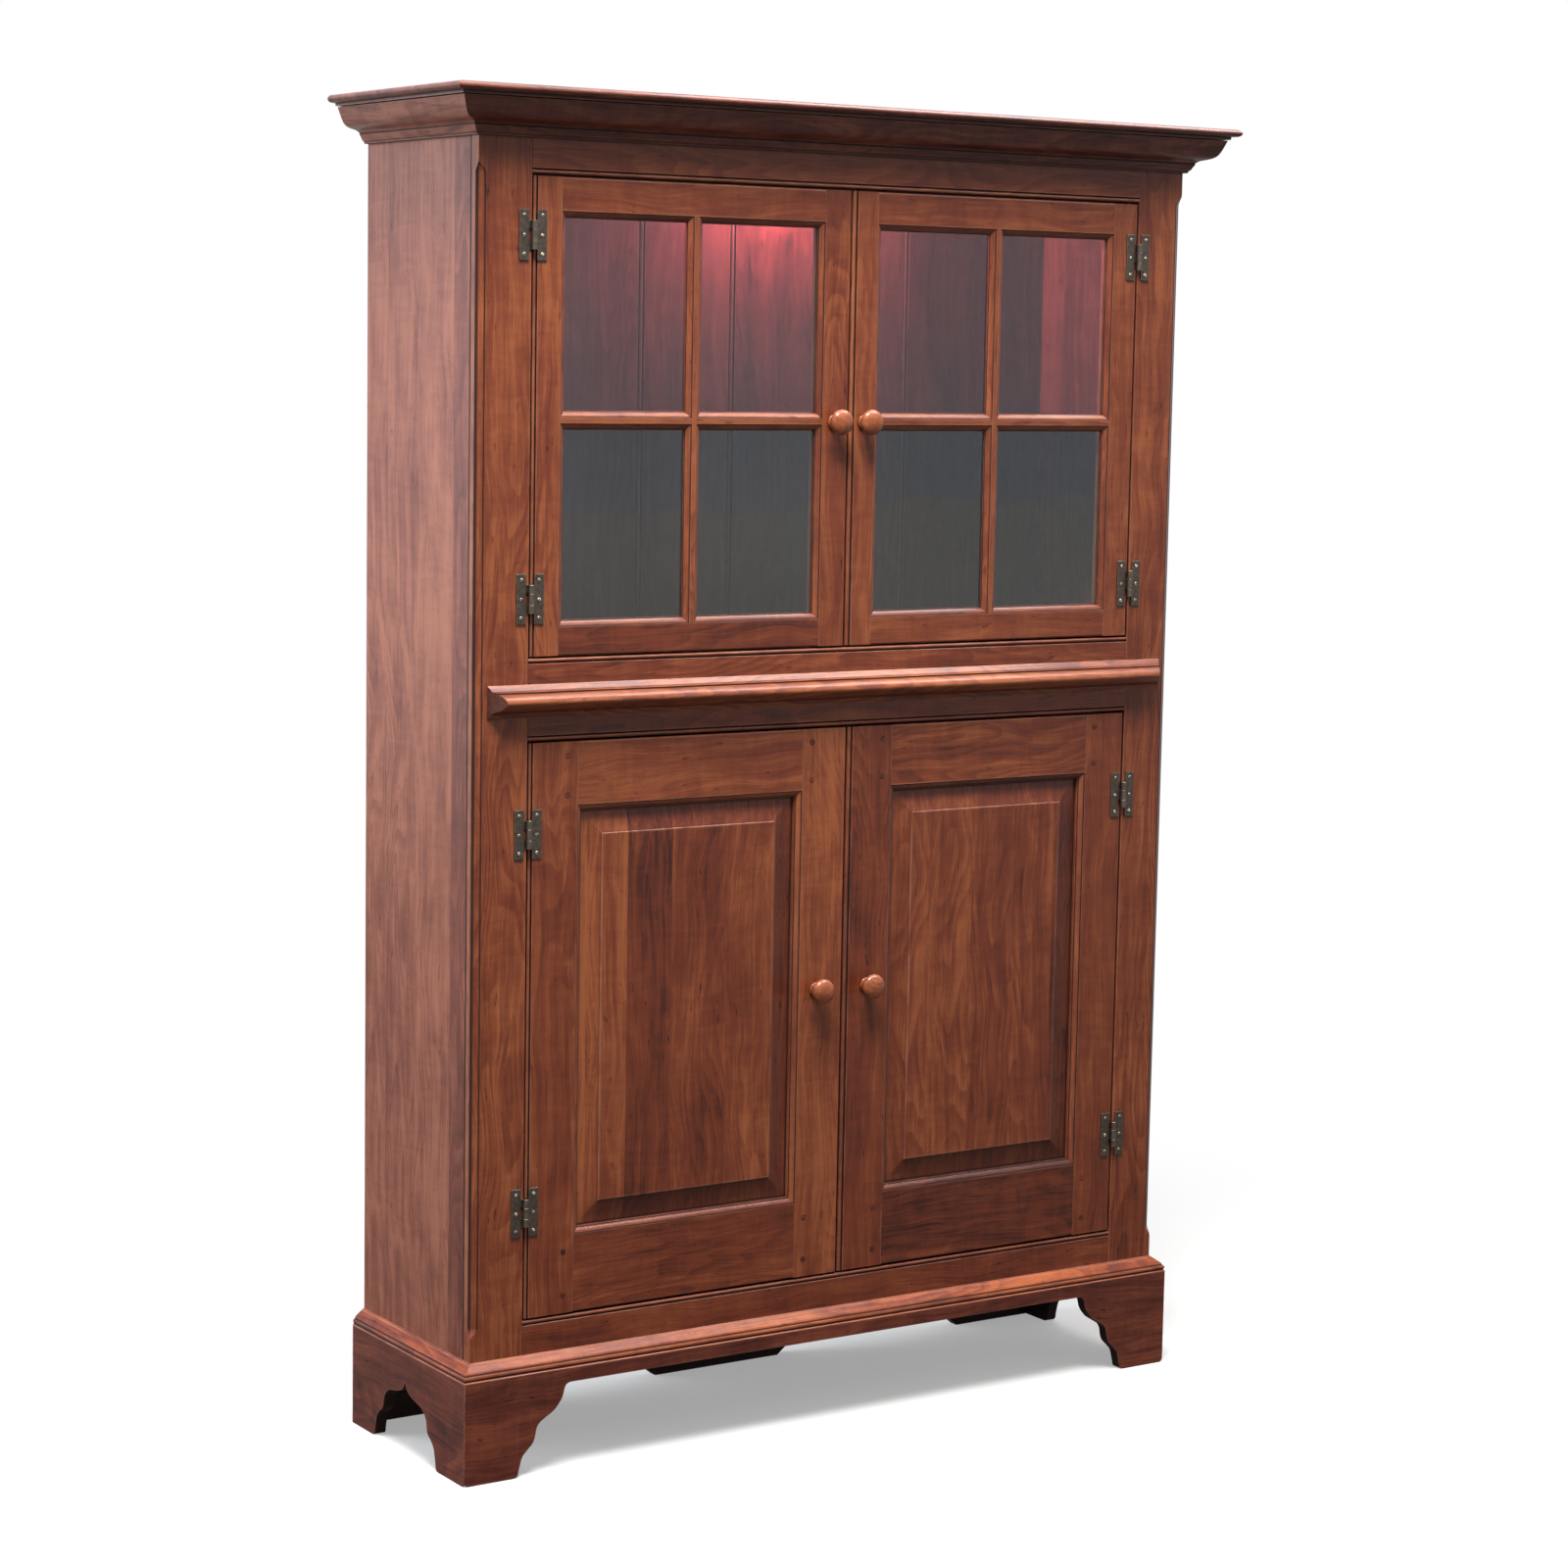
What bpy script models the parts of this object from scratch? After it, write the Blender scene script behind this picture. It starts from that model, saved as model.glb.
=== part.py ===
"""Kitchen cupboard: glazed doors above, panelled doors below, on bracket feet.

The origin is on the floor, at the middle of the cupboard's footprint box. +Z is up,
the doors face -Y, and lengths are in metres.
"""
import math

import bmesh
import bpy
from mathutils import Matrix, Vector

# Overall sizes
HEIGHT = 2.134
CASE_WIDTH = 1.343
CASE_DEPTH = 0.367
FIT = 0.0003
OVERRUN = 0.005

# Case boards
SIDE_THICKNESS = 0.020
BACK_THICKNESS = 0.012
BACK_BOARD_PITCH = 0.177
BACK_BEAD_WIDTH = 0.007
SHELF_THICKNESS = 0.019
SHELF_SETBACK = 0.012
UPPER_SHELF_RISE = 0.0060
LOWER_SHELF_RISE = 0.0016

# Face frame
FACE_THICKNESS = 0.024
FACE_STILE_WIDTH = 0.091
UPPER_OPENING_DROP = 0.1250
MIDDLE_RAIL_WIDTH = 0.1260
LOWER_OPENING_TOP = 1.1530
LOWER_OPENING_BOTTOM = 0.2438
RAIL_BEAD_WIDTH = 0.0056
QUIRK_WIDTH = 0.0022
QUIRK_DEPTH = 0.004
CHAMFER = 0.0115
CHAMFER_STOP = 0.020
CHAMFER_DROP = 0.108
CHAMFER_FOOT = 0.224

# Cornice: top board with a rounded edge, over a crown moulding
CROWN_OVERHANG = 0.070
BOARD_THICKNESS = 0.017
CROWN_HEIGHT = 0.0557
CROWN_SHARES = (
    (0.086, 0.000), (0.100, 0.054), (0.136, 0.090), (0.170, 0.170), (0.211, 0.250),
    (0.203, 0.275), (0.236, 0.320), (0.300, 0.365), (0.406, 0.400), (0.514, 0.450),
    (0.593, 0.530), (0.643, 0.637), (0.686, 0.763), (0.724, 0.889), (0.753, 0.977),
)
BOARD_EDGE_SHARES = (
    (0.800, 0.000), (0.807, 0.240), (0.857, 0.260), (0.943, 0.320), (0.986, 0.470),
    (1.000, 0.650), (0.980, 0.820), (0.937, 0.950), (0.886, 1.000),
)

# Waist moulding between the upper and lower doors
WAIST_HALF_LENGTH = 0.651
WAIST_LIFT = 0.035
WAIST_HEIGHT = 0.052
WAIST_PROJECTION = 0.030
WAIST_END_BEVEL = 0.020
WAIST_SHARES = (
    (0.070, 0.050), (0.140, 0.115), (0.250, 0.190), (0.400, 0.240), (0.670, 0.296),
    (0.810, 0.363), (0.950, 0.430), (1.000, 0.496), (0.980, 0.560), (0.890, 0.643),
    (0.730, 0.716), (0.570, 0.756), (0.510, 0.770), (0.530, 0.805), (0.270, 0.832),
    (0.110, 0.935),
)

# Base boards with bracket feet
BASE_PROJECTION = 0.0205
BASE_HEIGHT = 0.1895
BASE_FACE_HEIGHT = 0.1640
APRON_HEIGHT = 0.1410
BASE_EDGE_SHARES = (
    (0.940, 0.040), (0.900, 0.110), (0.950, 0.180), (0.965, 0.260), (0.930, 0.340),
    (0.860, 0.380), (0.800, 0.410), (0.790, 0.460), (0.740, 0.530), (0.620, 0.620),
    (0.450, 0.730), (0.280, 0.840), (0.120, 0.930),
)
FRONT_FOOT_WIDTH = 0.090
FRONT_SCROLL_RUN = 0.098
FRONT_SCROLL_SHARES = (
    (0.000, 0.000), (0.050, 0.040), (0.090, 0.140), (0.135, 0.235), (0.220, 0.300),
    (0.320, 0.370), (0.360, 0.440), (0.385, 0.525), (0.440, 0.590), (0.560, 0.645),
    (0.700, 0.705), (0.800, 0.780), (0.860, 0.850), (0.890, 0.930), (0.930, 0.980),
    (1.000, 1.000),
)
SIDE_FRONT_FOOT_WIDTH = 0.091
SIDE_REAR_FOOT_WIDTH = 0.077
SIDE_ARCH_HEIGHT = 0.1155
SIDE_SCROLL_SHARES = (
    (0.000, 0.000), (0.030, 0.060), (0.060, 0.180), (0.105, 0.310), (0.190, 0.390),
    (0.290, 0.460), (0.320, 0.560), (0.340, 0.640), (0.400, 0.710), (0.500, 0.770),
    (0.640, 0.800), (0.780, 0.830), (0.880, 0.865), (0.950, 0.920), (1.000, 1.000),
)
SKIRT_THICKNESS = 0.018
SKIRT_CORNER_FOOT = 0.158
SKIRT_CENTRE_FOOT = 0.250
SKIRT_SLANT = 0.090
SKIRT_ARCH_HEIGHT = 0.070

# Doors: frames with a moulded inner edge, called sticking
DOOR_GAP = 0.003
MEETING_GAP = 0.0035
LOWER_MEETING_X = 0.0094
HEAD_GAP = 0.0035
HINGE_BEAD_WIDTH = 0.005
MEETING_BEAD_WIDTH = 0.0072
ARRIS = 0.0028
STICK_WIDTH = 0.010
STICK_DEPTH = 0.0078
STICK_SHARES = ((0.060, 0.150), (0.300, 0.260), (0.600, 0.500), (0.860, 0.820), (0.900, 0.950))
GROOVE_DEPTH = 0.008
BACK_LIP = 0.0027
UPPER_STILE_WIDTH = 0.049
UPPER_TOP_RAIL = 0.0505
UPPER_BOTTOM_RAIL = 0.0440
LOWER_BEADED_STILE = 0.0868
LOWER_LOCK_STILE = 0.0835
LOWER_HINGE_STILE = 0.0785
LOWER_TOP_RAIL = 0.0990
LOWER_BOTTOM_RAIL = 0.1245

# Glass and glazing bars
MUNTIN_FLAT = 0.009
GLASS_LIP = 0.0012
GLASS_THICKNESS = 0.003
PANE_PLAY = 0.0005

# Raised panels
PANEL_REVEAL = 0.0055
TONGUE_THICKNESS = 0.0044
PANEL_RISE = 0.0076
PANEL_STEP = 0.0015
PANEL_MARGIN = 0.047
PANEL_PLAY = 0.0004

# Surface H hinges
HINGE_HEIGHT = 0.076
LEAF_WIDTH = 0.0165
LEAF_OFFSET = 0.0072
LEAF_THICKNESS = 0.002
BARREL_RADIUS = 0.0047
BARREL_LENGTH = 0.044
BARREL_STANDOFF = 0.0011
PIN_RADIUS = 0.0022
MIDDLE_KNUCKLE_SHARE = 0.38
UPPER_HINGE_INSET = 0.088
LOWER_HINGE_DROP = 0.140
LOWER_HINGE_RISE = 0.170

# Turned knobs
KNOB_RADIUS = 0.019
KNOB_LENGTH = 0.036
KNOB_SHARES = (
    (0.000, 0.520), (0.050, 0.580), (0.110, 0.540), (0.150, 0.400), (0.240, 0.330),
    (0.350, 0.370), (0.440, 0.560), (0.520, 0.820), (0.610, 0.960), (0.700, 1.000),
    (0.800, 0.940), (0.890, 0.780), (0.960, 0.500), (1.000, 0.000),
)
UPPER_KNOB_INSET = 0.029
UPPER_KNOB_DROP = 0.0035
LOWER_LEFT_KNOB_INSET = 0.053
LOWER_RIGHT_KNOB_INSET = 0.046
LOWER_KNOB_RISE = 0.0251

BEAD_STEPS = 6
ARRIS_STEPS = 2
STOP_STEPS = 4
ROUND_STEPS = 16

# Places worked out from the sizes above
FACE_Y = (CROWN_OVERHANG - CASE_DEPTH) / 2
BACK_Y = FACE_Y + CASE_DEPTH
SIDE_X = CASE_WIDTH / 2
OPENING_X = SIDE_X - FACE_STILE_WIDTH
INNER_X = SIDE_X - SIDE_THICKNESS - FIT
UPPER_OPENING_TOP = HEIGHT - UPPER_OPENING_DROP
UPPER_OPENING_BOTTOM = LOWER_OPENING_TOP + MIDDLE_RAIL_WIDTH
UPPER_MIDDLE = (UPPER_OPENING_BOTTOM + UPPER_OPENING_TOP) / 2
LOWER_MIDDLE = (LOWER_OPENING_BOTTOM + LOWER_OPENING_TOP) / 2
UPPER_SHELF_TOP = UPPER_MIDDLE + UPPER_SHELF_RISE
LOWER_SHELF_TOP = LOWER_MIDDLE + LOWER_SHELF_RISE
UPPER_KNOB_Z = UPPER_MIDDLE - UPPER_KNOB_DROP
LOWER_KNOB_Z = LOWER_MIDDLE + LOWER_KNOB_RISE
WAIST_BOTTOM = LOWER_OPENING_TOP + WAIST_LIFT
CHAMFER_TOP = HEIGHT - CHAMFER_DROP
CASE_TOP = HEIGHT - BOARD_THICKNESS - FIT
CASE_BOTTOM = APRON_HEIGHT
PIN_X = OPENING_X - DOOR_GAP / 2
PIN_Y = FACE_Y - BARREL_RADIUS - BARREL_STANDOFF
GLASS_SETBACK = STICK_DEPTH + GLASS_LIP
PANEL_SETBACK = STICK_DEPTH + PANEL_REVEAL
DOOR_THICKNESS = PANEL_SETBACK + TONGUE_THICKNESS + BACK_LIP + 2 * FIT


def clear_scene():
    for item in list(bpy.data.objects):
        bpy.data.objects.remove(item, do_unlink=True)


def finish(name, colour, roughness, metallic=0.0, alpha=1.0):
    """A Principled material for one sub-part."""
    made = bpy.data.materials.new(name)
    made.use_nodes = True
    shader = made.node_tree.nodes["Principled BSDF"]
    shader.inputs["Base Color"].default_value = (*colour, 1.0)
    shader.inputs["Roughness"].default_value = roughness
    shader.inputs["Metallic"].default_value = metallic
    shader.inputs["Alpha"].default_value = alpha
    return made


def wood(name, tone=1.0):
    """Stained cherry, a little lighter or darker from one board to the next."""
    return finish(name, (0.24 * tone, 0.085 * tone, 0.05 * tone), 0.42)


def brass(name):
    return finish(name, (0.16, 0.13, 0.10), 0.45, 0.9)


def placed(name, builder, material, holder=None):
    """An object from a finished bmesh, held by the empty on its joint's axis."""
    bmesh.ops.recalc_face_normals(builder, faces=builder.faces)
    mesh = bpy.data.meshes.new(name)
    builder.to_mesh(mesh)
    builder.free()
    return linked(name, mesh, material, holder)


def linked(name, mesh, material, holder=None):
    item = bpy.data.objects.new(name, mesh)
    item.data.materials.append(material)
    bpy.context.scene.collection.objects.link(item)
    if holder is not None:
        item.parent = holder
        item.matrix_parent_inverse = Matrix.Translation(-holder.location)
    return item


def lofted(name, rings, material, holder=None):
    """A closed solid through rings of as many points each, capped at both ends."""
    builder = bmesh.new()
    loops = [[builder.verts.new(point) for point in ring] for ring in rings]
    for low, high in zip(loops, loops[1:]):
        for i, corner in enumerate(low):
            j = (i + 1) % len(low)
            builder.faces.new((corner, low[j], high[j], high[i]))
    builder.faces.new(loops[0])
    builder.faces.new(loops[-1])
    return placed(name, builder, material, holder)


def extruded(name, outline, start, end, place, material, holder=None):
    """An outline carried straight from start to end. place(a, b, c) is a world point."""
    rings = [[place(a, b, c) for a, b in outline] for c in (start, end)]
    return lofted(name, rings, material, holder)


def box(name, low, high, material, holder=None):
    builder = bmesh.new()
    size = [b - a for a, b in zip(low, high)]
    middle = [(a + b) / 2 for a, b in zip(low, high)]
    shape = Matrix.Translation(middle) @ Matrix.Diagonal((*size, 1.0))
    bmesh.ops.create_cube(builder, size=1.0, matrix=shape)
    return placed(name, builder, material, holder)


def cutter(item):
    item.hide_render = True
    item.display_type = "WIRE"
    return item


def cut(item, tool, operation="DIFFERENCE"):
    """A live Boolean with the exact solver."""
    modifier = item.modifiers.new(tool.name, "BOOLEAN")
    modifier.operation = operation
    modifier.solver = "EXACT"
    modifier.object = tool


def bead_edge(width):
    """Points of a quirked bead on an edge, as (distance from the edge, depth), face first.

    The bead is half a circle flush with the face, and the quirk is the groove beside it.
    """
    radius = width / 2
    points = [(width + QUIRK_WIDTH, 0.0), (width + QUIRK_WIDTH, QUIRK_DEPTH), (width, QUIRK_DEPTH)]
    for step in range(BEAD_STEPS + 1):
        angle = math.pi * step / BEAD_STEPS
        points.append((radius + radius * math.cos(angle), radius - radius * math.sin(angle)))
    return points


def eased_edge():
    """Points of an arris rounded over, as (distance from the edge, depth), face first."""
    points = []
    for step in range(ARRIS_STEPS + 1):
        angle = math.pi / 2 * step / ARRIS_STEPS
        points.append((ARRIS - ARRIS * math.sin(angle), ARRIS - ARRIS * math.cos(angle)))
    return points


def case_boards():
    """Sides, back, floors and shelves."""
    inside_y = FACE_Y + FACE_THICKNESS + FIT
    back_face = BACK_Y - BACK_THICKNESS - FIT
    for name, side in (("left_side", -1), ("right_side", 1)):
        faces = sorted((side * SIDE_X, side * (SIDE_X - SIDE_THICKNESS)))
        low = (faces[0], inside_y, CASE_BOTTOM + FIT)
        box(name, low, (faces[1], BACK_Y, CASE_TOP), wood(name, 0.92))
    floors = (
        ("bottom_board", LOWER_OPENING_BOTTOM, inside_y),
        ("deck", UPPER_OPENING_BOTTOM, inside_y),
        ("lower_shelf", LOWER_SHELF_TOP, inside_y + SHELF_SETBACK),
        ("upper_shelf", UPPER_SHELF_TOP, inside_y + SHELF_SETBACK),
    )
    for name, top, front_y in floors:
        low = (-INNER_X, front_y, top - SHELF_THICKNESS)
        box(name, low, (INNER_X, back_face, top), wood(name, 0.85))


def back_panel():
    """Upright boards with a bead at each joint, facing the inside."""
    front_y = BACK_Y - BACK_THICKNESS
    half = BACK_BEAD_WIDTH / 2
    outline = [(-INNER_X, BACK_Y), (-INNER_X, front_y)]
    joints = int(INNER_X / BACK_BOARD_PITCH)
    for joint in range(-joints, joints + 1):
        middle = joint * BACK_BOARD_PITCH
        bed = front_y + QUIRK_DEPTH
        outline.append((middle - half - QUIRK_WIDTH, front_y))
        outline.append((middle - half - QUIRK_WIDTH, bed))
        outline.append((middle - half, bed))
        for step in range(1, BEAD_STEPS):
            angle = math.pi * step / BEAD_STEPS
            outline.append((middle - half * math.cos(angle), front_y + half - half * math.sin(angle)))
        outline.append((middle + half, bed))
        outline.append((middle + half + QUIRK_WIDTH, bed))
        outline.append((middle + half + QUIRK_WIDTH, front_y))
    outline += [(INNER_X, front_y), (INNER_X, BACK_Y)]
    extruded("back_panel", outline, CASE_BOTTOM + FIT, CASE_TOP,
             lambda x, y, z: Vector((x, y, z)), wood("back_panel", 0.8))


def chamfer_cutter(name, side):
    """A three-sided bar that grows from nothing to the whole chamfer at each end."""
    rings = []
    for z, grow in ((CHAMFER_FOOT, 1), (CHAMFER_TOP, -1)):
        ends = []
        for step in range(STOP_STEPS + 1):
            share = step / STOP_STEPS
            swell = (1 - math.cos(math.pi * share)) / 2
            leg = CHAMFER * swell - FIT * (1 - swell)
            ends.append((z + grow * CHAMFER_STOP * share, leg))
        rings += ends if grow > 0 else ends[::-1]
    sections = []
    for z, leg in rings:
        corners = ((leg + OVERRUN, -OVERRUN), (-OVERRUN, leg + OVERRUN), (-OVERRUN, -OVERRUN))
        sections.append([Vector((side * (SIDE_X - a), FACE_Y + b, z)) for a, b in corners])
    return cutter(lofted(name, sections, wood(name)))


def face_frame():
    """Stiles with a stopped chamfer, and rails with beads along the door openings."""
    for name, side in (("face_stile_left", -1), ("face_stile_right", 1)):
        faces = sorted((side * SIDE_X, side * OPENING_X))
        low = (faces[0], FACE_Y, CASE_BOTTOM + FIT)
        high = (faces[1], FACE_Y + FACE_THICKNESS, CASE_TOP)
        stile = box(name, low, high, wood(name, 1.05))
        cut(stile, chamfer_cutter(name + "_chamfer", side))
    rails = (
        ("face_rail_bottom", CASE_BOTTOM + FIT, LOWER_OPENING_BOTTOM, False, True),
        ("face_rail_middle", LOWER_OPENING_TOP, UPPER_OPENING_BOTTOM, True, True),
        ("face_rail_top", UPPER_OPENING_TOP, CASE_TOP, True, False),
    )
    for name, low, high, bead_below, bead_above in rails:
        outline = [(0.0, low)]
        if bead_below:
            outline = [(depth, low + across) for across, depth in bead_edge(RAIL_BEAD_WIDTH)][::-1]
        if bead_above:
            outline += [(depth, high - across) for across, depth in bead_edge(RAIL_BEAD_WIDTH)]
        else:
            outline.append((0.0, high))
        outline += [(FACE_THICKNESS, high), (FACE_THICKNESS, low)]
        extruded(name, outline, FIT - OPENING_X, OPENING_X - FIT,
                 lambda depth, z, x: Vector((x, FACE_Y + depth, z)), wood(name))


def cornice():
    """Top board and crown moulding, carried round the front and both sides.

    Each outline point is (overhang, height). It runs from the top's edge down to the
    crown's foot, up the case's face and under the board.
    """
    crown_foot = HEIGHT - BOARD_THICKNESS - CROWN_HEIGHT
    board_bottom = HEIGHT - BOARD_THICKNESS
    outline = [(CROWN_OVERHANG * a, board_bottom + BOARD_THICKNESS * b) for a, b in BOARD_EDGE_SHARES]
    outline.reverse()
    outline += [(CROWN_OVERHANG * a, crown_foot + CROWN_HEIGHT * b) for a, b in CROWN_SHARES][::-1]
    outline += [(FIT, crown_foot), (FIT, board_bottom)]
    builder = bmesh.new()
    rows = []
    for out, z in outline:
        reach = SIDE_X + out
        corners = ((-reach, BACK_Y), (-reach, FACE_Y - out), (reach, FACE_Y - out), (reach, BACK_Y))
        rows.append([builder.verts.new((x, y, z)) for x, y in corners])
    for upper, lower in zip(rows, rows[1:]):
        for i in range(3):
            builder.faces.new((upper[i], upper[i + 1], lower[i + 1], lower[i]))
    builder.faces.new(rows[0])
    builder.faces.new(rows[-1])
    builder.faces.new([row[0] for row in rows] + [row[3] for row in reversed(rows)])
    placed("cornice", builder, wood("cornice", 1.1))


def waist_moulding():
    """A moulding across the middle rail, with its ends cut back towards the case."""
    outline = [(FIT, WAIST_BOTTOM)]
    outline += [(WAIST_PROJECTION * a, WAIST_BOTTOM + WAIST_HEIGHT * b) for a, b in WAIST_SHARES]
    outline.append((FIT, WAIST_BOTTOM + WAIST_HEIGHT))
    slope = WAIST_END_BEVEL / WAIST_PROJECTION
    rings = []
    for side in (-1, 1):
        rings.append([Vector((side * (WAIST_HALF_LENGTH - slope * out), FACE_Y - out, z))
                      for out, z in outline])
    lofted("waist_moulding", rings, wood("waist_moulding", 1.15))


def scroll(shares, foot, run, height):
    """A foot's inner edge, as (distance from the foot's outer edge, height)."""
    return [(foot + run * a, height * b) for a, b in shares]


def base_board(name, edge, start, end, mitred, place):
    """One board of the base, with its moulded top edge and its cut-out below.

    edge is the lower edge as (run, height). place(run, out, height) is a world point, out
    being the distance from the case. A mitred end runs on by as much as the board stands out.
    """
    profile = [(BASE_PROJECTION, BASE_FACE_HEIGHT)]
    rise = BASE_HEIGHT - BASE_FACE_HEIGHT
    profile += [(BASE_PROJECTION * a, BASE_FACE_HEIGHT + rise * b) for a, b in BASE_EDGE_SHARES]
    profile.append((FIT, BASE_HEIGHT))

    def ends(out):
        return start - mitred[0] * (out - FIT), end + mitred[1] * (out - FIT)

    builder = bmesh.new()
    lower = {}
    for out in (BASE_PROJECTION, FIT):
        first, last = ends(out)
        points = [(first, 0.0)] + edge + [(last, 0.0)]
        lower[out] = [builder.verts.new(place(run, out, z)) for run, z in points]
    strips = []
    for out, z in profile:
        strips.append([builder.verts.new(place(run, out, z)) for run in ends(out)])
    front, back = lower[BASE_PROJECTION], lower[FIT]
    builder.faces.new(front + [strips[0][1], strips[0][0]])
    builder.faces.new(back + [strips[-1][1], strips[-1][0]])
    for i in range(len(front) - 1):
        builder.faces.new((front[i], front[i + 1], back[i + 1], back[i]))
    for low, high in zip(strips, strips[1:]):
        builder.faces.new((low[0], low[1], high[1], high[0]))
    for i, j in ((0, 0), (1, -1)):
        builder.faces.new([front[j]] + [strip[i] for strip in strips] + [back[j]])
    placed(name, builder, wood(name, 0.95))


def base_boards():
    """Front and side boards on bracket feet, and a plain skirt at the back."""
    foot = scroll(FRONT_SCROLL_SHARES, FRONT_FOOT_WIDTH, FRONT_SCROLL_RUN, APRON_HEIGHT)
    outer = SIDE_X + BASE_PROJECTION
    edge = [(a - outer, z) for a, z in foot] + [(outer - a, z) for a, z in reversed(foot)]
    base_board("base_front", edge, -SIDE_X, SIDE_X, (1, 1),
               lambda run, out, z: Vector((run, FACE_Y - out, z)))
    front_y = FACE_Y - BASE_PROJECTION
    run = (BACK_Y - front_y - SIDE_FRONT_FOOT_WIDTH - SIDE_REAR_FOOT_WIDTH) / 2
    front_half = scroll(SIDE_SCROLL_SHARES, SIDE_FRONT_FOOT_WIDTH, run, SIDE_ARCH_HEIGHT)
    rear_half = scroll(SIDE_SCROLL_SHARES, SIDE_REAR_FOOT_WIDTH, run, SIDE_ARCH_HEIGHT)
    edge = [(front_y + a, z) for a, z in front_half]
    edge += [(BACK_Y - a, z) for a, z in reversed(rear_half[:-1])]
    for name, side in (("base_left", -1), ("base_right", 1)):
        base_board(name, edge, FACE_Y + FIT, BACK_Y, (1, 0),
                   lambda run, out, z, side=side: Vector((side * (SIDE_X + out), run, z)))
    half = SIDE_X - FIT
    notch_out = SIDE_X - SKIRT_CORNER_FOOT
    notch_in = SKIRT_CENTRE_FOOT / 2
    right = [(notch_in, 0.0), (notch_in + SKIRT_SLANT, SKIRT_ARCH_HEIGHT),
             (notch_out - SKIRT_SLANT, SKIRT_ARCH_HEIGHT), (notch_out, 0.0), (half, 0.0),
             (half, APRON_HEIGHT)]
    outline = right + [(-x, z) for x, z in reversed(right)]
    extruded("rear_skirt", outline, BACK_Y - SKIRT_THICKNESS, BACK_Y,
             lambda x, z, y: Vector((x, y, z)), wood("rear_skirt", 0.7))


def door_member(name, width, edge, groove, span, shoulders, place, holder, material):
    """A door's stile or rail, as one solid.

    place(inward, depth, along) is a world point, inward being the distance from the frame's
    opening towards the glass or panel. The plain body is as wide as width, with edge's points
    on its outer side. The sticking beyond it ends in mitres: it starts where the body's
    shoulders end, and its points lie as far along as they lie inward.
    """
    body = [(0.0, 0.0)] + [(across - width, depth) for across, depth in edge]
    body += [(-width, DOOR_THICKNESS), (0.0, DOOR_THICKNESS)]
    bed = STICK_WIDTH - GROOVE_DEPTH
    sticking = [(STICK_WIDTH * a, STICK_DEPTH * b) for a, b in STICK_SHARES]
    sticking += [(STICK_WIDTH, STICK_DEPTH), (STICK_WIDTH, groove[0]), (bed, groove[0])]
    sticking += [(bed, groove[1]), (STICK_WIDTH, groove[1]), (STICK_WIDTH, DOOR_THICKNESS)]
    builder = bmesh.new()
    caps = []
    for end, shoulder, inwards in ((span[0], shoulders[0], 1), (span[1], shoulders[1], -1)):
        ring = [builder.verts.new(place(s, depth, end)) for s, depth in body]
        mitre_at = end + inwards * shoulder
        front, back = ring[0], ring[-1]
        if shoulder:
            front = builder.verts.new(place(0.0, 0.0, mitre_at))
            back = builder.verts.new(place(0.0, DOOR_THICKNESS, mitre_at))
            builder.faces.new((ring[0], front, back, ring[-1]))
        strip = [builder.verts.new(place(s, depth, mitre_at + inwards * s)) for s, depth in sticking]
        strip = [front] + strip + [back]
        builder.faces.new(ring)
        builder.faces.new(strip)
        caps.append((ring, strip))
    (low, low_strip), (high, high_strip) = caps
    for i in range(len(low) - 1):
        low_run, high_run = [low[i], low[i + 1]], [high[i + 1], high[i]]
        if shoulders[0] and i == 0:
            low_run.insert(0, low_strip[0])
        if shoulders[1] and i == 0:
            high_run.append(high_strip[0])
        if shoulders[0] and i == len(low) - 2:
            low_run.append(low_strip[-1])
        if shoulders[1] and i == len(low) - 2:
            high_run.insert(0, high_strip[-1])
        builder.faces.new(low_run + high_run)
    for i in range(len(low_strip) - 1):
        builder.faces.new((low_strip[i], low_strip[i + 1], high_strip[i + 1], high_strip[i]))
    placed(name, builder, material, holder)


def glazing_bars(name, sight, holder):
    """A cross of bars in front of the glass, with the same sticking as the frame.

    sight is the frame's opening as left, right, bottom, top. Each ring is a cross whose arms
    are wider and shorter the deeper it lies.
    """
    left, right, bottom, top = sight
    middle_x, middle_z = (left + right) / 2, (bottom + top) / 2
    levels = [(0.0, 0.0)] + [(STICK_WIDTH * a, STICK_DEPTH * b) for a, b in STICK_SHARES]
    levels += [(STICK_WIDTH, STICK_DEPTH), (STICK_WIDTH, GLASS_SETBACK - FIT)]
    rings = []
    for inward, depth in levels:
        half = MUNTIN_FLAT / 2 + inward
        x = (left + inward + FIT, middle_x - half, middle_x + half, right - inward - FIT)
        z = (bottom + inward + FIT, middle_z - half, middle_z + half, top - inward - FIT)
        cross = ((1, 0), (2, 0), (2, 1), (3, 1), (3, 2), (2, 2), (2, 3), (1, 3), (1, 2), (0, 2),
                 (0, 1), (1, 1))
        rings.append([Vector((x[i], FACE_Y + depth, z[j])) for i, j in cross])
    lofted(name, rings, wood(name, 1.1), holder)


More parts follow.
